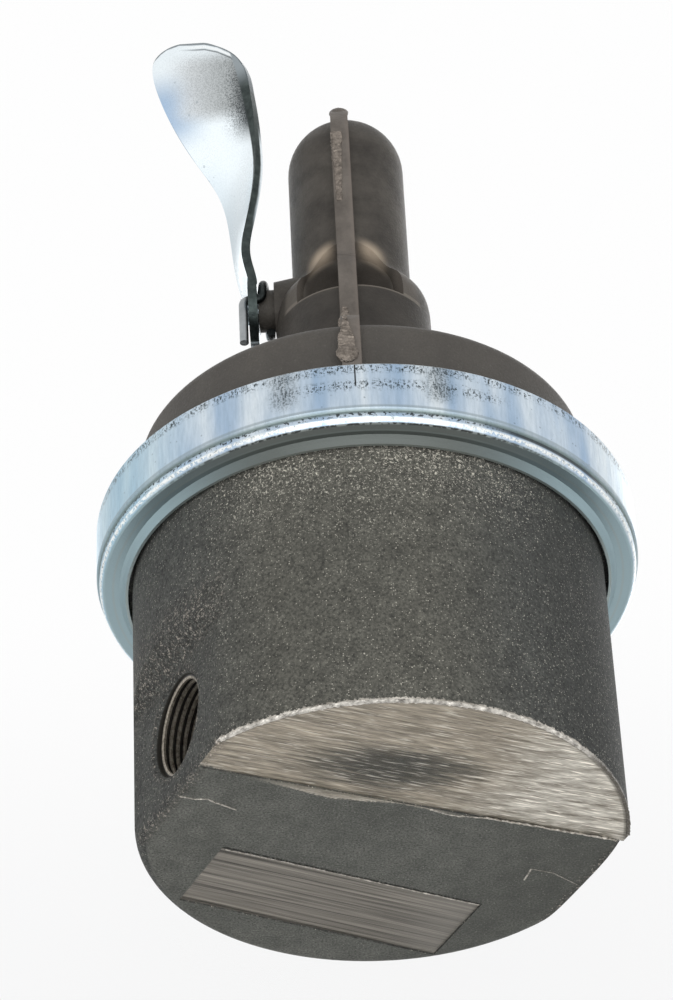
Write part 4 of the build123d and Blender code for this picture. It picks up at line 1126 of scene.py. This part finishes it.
# %% Ring: groove and bead
GROOVE = (42.55, 43.1, 0.15)
OVER_BEAD = (42.15, 42.75, 0.15)
CRACK_ANGLES = (28.0, 62.0, 8.0)
BEAD_HEIGHTS = (42.05, 41.85)
BEAD_RADII = (36.6, 36.85)
tint(tree, look, (112, 126, 124), window(tree, height, *GROOVE), 0.85)
speckle = ramp(tree, noise(tree, place, 2200.0, 2.0, 0.6), 0.55, 0.70)
crack = window(tree, around["Angle"], *CRACK_ANGLES)
over_bead = window(tree, height, *OVER_BEAD)
tint(tree, look, (40, 44, 44), over_bead, math_node(tree, "MAXIMUM", speckle, crack), 0.9)
uneven = math_node(tree, "MULTIPLY_ADD", speckle, -0.25, around["Radius"])
bead = times(tree, ramp(tree, height, *BEAD_HEIGHTS), ramp(tree, uneven, *BEAD_RADII))
crinkle = ramp(tree, noise(tree, place, 1900.0, 4.0, 0.8), 0.12, 0.5)
cover(tree, look, bead, colour=mix(tree, crinkle, shade(132, 140, 140), shade(232, 235, 234)))
print("ring bead", len(tree.nodes), "nodes")

# %% Ring: the face under it
UNDER_HEIGHTS = (42.0, 41.8)
UNDER_RADII = (36.65, 36.45)
FRONT_ANGLES = (-40.0, 40.0, 22.0)
INNER_RADII = (35.4, 34.8)
NOTCH_RADII = (36.2, 36.4)
PALE_RADII = (35.0, 35.3, 0.1)
LIP_RADII = (33.55, 33.35)
under = times(tree, ramp(tree, height, *UNDER_HEIGHTS), ramp(tree, around["Radius"], *UNDER_RADII))
front_face = window(tree, around["Angle"], *FRONT_ANGLES)
inner = ramp(tree, around["Radius"], *INNER_RADII)
dull = mix(tree, inner, shade(128, 134, 131), shade(92, 98, 95))
dull = mix(tree, front_face, shade(146, 166, 172), dull)
cover(tree, look, under, colour=dull, rough=0.42, metal=mix(tree, front_face, 0.9, 0.35))
jagged = ramp(tree, noise(tree, place, 1500.0, 2.0), 0.35, 0.6)
notches = times(tree, under, ramp(tree, around["Radius"], *NOTCH_RADII), jagged)
tint(tree, look, (34, 36, 34), notches, front_face)
tint(tree, look, (150, 160, 158), under, window(tree, around["Radius"], *PALE_RADII), 0.5)
tint(tree, look, (150, 156, 150), under, ramp(tree, around["Radius"], *LIP_RADII), 0.6)
dress(tree, shader, look, 0.015 * MM)
print("ring material", len(tree.nodes), "nodes")

# %% [markdown]
# ## The primer lever
# Its zinc is nearly white up the blade, greyer low down, stippled grey near the tip and blue at
# the outer side. The sheared edge of the sheet is dark, and paler at the tip. A painted highlight
# and painted shade, as on a rolled border, and a thin dark outline follow the tip's border, so that
# it stands out against white.
# Heights are taken up the blade's slope, because the blade leans.

# %% Lever: plate
BLADE_LEAN = -0.77
PLATE_SLOPES = (105.0, 122.0)
BLUE_X = (-19.0, -26.0)
BLUE_SLOPES = (128.0, 139.0, 4.0)
LOW_X = (-15.0, -22.0)
LOW_SLOPES = (126.0, 116.0)
lever_zinc, tree, shader = new_material("lever_zinc")
place = object_place(tree)
skin = place_group(tree, cast_skin, place, Cloud_Scale=110.0, Mottle_Scale=900.0)
axes = split(tree, place)
x_mm, y_mm, z_mm = (times(tree, axes[name], TO_MM) for name in "XYZ")
slope = math_node(tree, "MULTIPLY_ADD", y_mm, BLADE_LEAN, z_mm)
look = {
    "colour": mix(tree, ramp(tree, slope, *PLATE_SLOPES), shade(190, 202, 208), shade(236, 244, 248)),
    "rough": mix(tree, skin["Tone"], 0.24, 0.34),
    "metal": 1.0,
    "height": skin["Grain"],
}
tint(tree, look, (154, 180, 208), ramp(tree, x_mm, *BLUE_X), window(tree, slope, *BLUE_SLOPES), 0.9)
tint(tree, look, (206, 222, 232), ramp(tree, x_mm, *LOW_X), ramp(tree, slope, *LOW_SLOPES), 0.5)
print("lever plate", len(tree.nodes), "nodes")

# %% Lever: stipple near the tip
STIPPLE_SLOPES = (131.5, 144.0, 2.0)
STIPPLE_X = (-27.5, -22.0)
DARKER_X = (-26.0, -15.0)
CHARCOAL_X = (-17.4, -13.4)
CHARCOAL_SLOPES = (127.5, 141.0, 3.0)
stipple = times(tree, window(tree, slope, *STIPPLE_SLOPES), ramp(tree, x_mm, *STIPPLE_X))
dots = ramp(tree, noise(tree, place, 4200.0, 3.0, 0.8), 0.35, 0.75)
darker = ramp(tree, x_mm, *DARKER_X)
grey = mix(tree, darker, shade(216, 220, 222), shade(158, 162, 162))
cover(tree, look, times(tree, stipple, 0.85), colour=grey)
grey = mix(tree, darker, shade(176, 180, 182), shade(84, 88, 88))
cover(tree, look, times(tree, stipple, dots, 0.45), colour=grey)
uneven = math_node(tree, "MULTIPLY_ADD", dots, 1.4, x_mm)
tint(tree, look, (58, 62, 64), ramp(tree, uneven, *CHARCOAL_X), window(tree, slope, *CHARCOAL_SLOPES))
stray = place_group(tree, specks, place, Density=0.03, Coarse_Scale=900.0, Fine_Scale=1500.0)
tint(tree, look, (120, 132, 140), stray["Specks"], 0.5)
print("lever stipple", len(tree.nodes), "nodes")

# %% Lever: sheared edge of the sheet
NEAR_EDGE = [
    (86.9, 0.0), (87.2, -1.8), (88.0, -3.3), (89.5, -4.67), (91.0, -5.32), (92.4, -5.5), (99.4, -5.2),
    (105.0, -4.9), (111.0, -4.8), (117.0, -4.9), (122.5, -5.1), (128.0, -5.3), (132.0, -5.4), (136.0, -5.4),
]
NEAR_BAND = (0.25, 0.08)
TIP_FRONT = (-0.49, -0.86, -0.12)
TIP_HEIGHTS = (120.0, 126.0)
PALE_HEIGHTS = (132.0, 137.0)
near_edge = math_node(tree, "SUBTRACT", y_mm, lookup(tree, z_mm, NEAR_EDGE))
sheared = ramp(tree, near_edge, *NEAR_BAND)
turned_away = ramp(tree, math_node(tree, "ABSOLUTE", facing(tree, TIP_FRONT)), 0.60, 0.40)
tip_edge = times(tree, turned_away, ramp(tree, z_mm, *TIP_HEIGHTS))
edge_mask = math_node(tree, "MAXIMUM", sheared, tip_edge)
edge_tone = mix(tree, skin["Mottle"], shade(40, 46, 46), shade(74, 82, 80))
edge_tone = mix(tree, ramp(tree, z_mm, *PALE_HEIGHTS), edge_tone, shade(150, 158, 162))
cover(tree, look, edge_mask, colour=edge_tone, rough=0.42)
print("lever edge", len(tree.nodes), "nodes")

# %% Lever: painted highlight and shade of a rolled border at the tip, and thin dark outline
TIP_BORDER = [
    (-28.8, 143.9), (-28.5, 144.7), (-27.5, 145.9), (-26.5, 146.7), (-24.5, 147.3), (-22.5, 147.0),
    (-20.5, 146.8), (-18.5, 145.9), (-16.5, 144.4), (-15.5, 143.2), (-14.5, 141.1), (-13.5, 135.9),
]
FAR_BORDER = [
    (-28.8, 140.4), (-28.5, 138.8), (-27.5, 134.6), (-26.5, 131.6), (-24.5, 126.7), (-22.5, 122.3),
    (-20.5, 118.4), (-19.5, 116.0), (-18.5, 112.0),
]
ROLLED_X = (-25.0, -21.0)
ROLLED_HIGHLIGHT_BAND = (0.5, 1.0, 0.12)
ROLLED_SHADE_BAND = (1.15, 1.45, 0.12)
TIP_LINE = (0.42, 0.22)
FAR_LINE = (0.55, 0.30)
FAR_X = (-18.6, -20.5)
on_front = math_node(tree, "SUBTRACT", 1.0, edge_mask)
from_tip = math_node(tree, "SUBTRACT", lookup(tree, x_mm, TIP_BORDER), slope)
from_far = math_node(tree, "SUBTRACT", slope, lookup(tree, x_mm, FAR_BORDER))
rolled = times(tree, on_front, ramp(tree, x_mm, *ROLLED_X))
# Painted highlight and painted shade along the tip's border, as on a rolled edge.
tint(tree, look, (246, 250, 251), rolled, window(tree, from_tip, *ROLLED_HIGHLIGHT_BAND))
tint(tree, look, (84, 90, 92), rolled, window(tree, from_tip, *ROLLED_SHADE_BAND), 0.75)
tip_line = math_node(tree, "MULTIPLY_ADD", dots, 0.12, ramp(tree, from_tip, *TIP_LINE))
tint(tree, look, (84, 92, 96), tip_line, 0.75)
tint(tree, look, (138, 154, 168), ramp(tree, from_far, *FAR_LINE), ramp(tree, x_mm, *FAR_X), 0.6)
dress(tree, shader, look, 0.012 * MM)
print("lever material", len(tree.nodes), "nodes")

# %% [markdown]
# ## The inner parts
# Springs, washers, rod, pin, rubber, fibre and plastic lie inside or behind. Each has two tones,
# a roughness and a fine grain, so that it holds up when the pump is turned or opened.

# %% Plain metals, rubber and plastic
def plain(name, dark, light, metallic, rough, depth=0.02):
    """Finish between two tones with a fine grain."""
    material, tree, shader = new_material(name)
    skin = place_group(tree, cast_skin, object_place(tree), Mottle_Scale=600.0)
    colour = mix(tree, skin["Mottle"], dark, light)
    look = {
        "colour": mix(tree, times(tree, skin["Tone"], 0.3), colour, dark),
        "rough": mix(tree, skin["Grain"], rough - 0.06, rough + 0.06),
        "metal": metallic,
        "height": skin["Grain"],
    }
    dress(tree, shader, look, depth * MM)
    return material


turned_steel = plain("turned_steel", shade(166, 166, 168), shade(200, 200, 200), 1.0, 0.32)
spring_wire = plain("spring_wire", shade(40, 44, 44), shade(88, 92, 92), 1.0, 0.38)
forged_steel = plain("forged_steel", shade(100, 97, 95), shade(136, 132, 128), 0.9, 0.48, 0.08)
black_rubber = plain("black_rubber", shade(30, 30, 31), shade(44, 44, 45), 0.0, 0.6, 0.03)
gasket_fibre = plain("gasket_fibre", shade(84, 70, 56), shade(112, 94, 76), 0.0, 0.8, 0.06)
valve_plastic = plain("valve_plastic", shade(170, 166, 156), shade(192, 188, 178), 0.0, 0.45, 0.01)

# %% Primer spring: painted shade on the coil, painted light on the leg
LIT_LEG_X = (-15.2, -15.7)
primer_wire, tree, shader = new_material("primer_wire")
place = object_place(tree)
skin = place_group(tree, cast_skin, place)
# Painted shade: the coil is dark as if in shadow; painted light: the leg is paler, as if lit.
lit_leg = ramp(tree, times(tree, split(tree, place)["X"], TO_MM), *LIT_LEG_X)
colour = mix(tree, skin["Grain"], shade(34, 38, 38), shade(58, 62, 62))
look = {"colour": colour, "rough": 0.38, "metal": 1.0, "height": skin["Grain"]}
cover(tree, look, lit_leg, colour=mix(tree, skin["Mottle"], shade(134, 138, 140), shade(164, 168, 170)))
dress(tree, shader, look, 0.01 * MM)
print("spring wire", len(tree.nodes), "nodes")

# %% Finishes on the nodes and on the new pieces
FINISHES = {
    "barrel_casting": barrel_skin,
    "upper_casting": upper_skin,
    "zinc_plate": ring_zinc,
    "steel": turned_steel,
    "spring_steel": spring_wire,
    "arm_steel": forged_steel,
    "rubber": black_rubber,
    "gasket_fibre": gasket_fibre,
    "valve_plastic": valve_plastic,
}
OWN_FINISH = {"primer_lever": lever_zinc, "primer_shaft": lever_zinc, "primer_spring": primer_wire}


def wear(piece, material):
    """Gives a piece one material."""
    piece.data.materials.clear()
    piece.data.materials.append(material)


for part in frame["record"]["subparts"]:
    wear(frame["nodes"][part["node"]], OWN_FINISH.get(part["node"], FINISHES[part["material_slot"]]))
wear(rib_knob, upper_skin)
for piece in (tower_flash, collar_flash, dome_flash, rib_blob):
    wear(piece, flash_metal)
wear(rim_burr, rim_metal)
for piece in face_burrs:
    wear(piece, burr_metal)
for piece in (inlet_thread, outlet_thread):
    wear(piece, thread_metal)
print("finished nodes", len(frame["nodes"]))
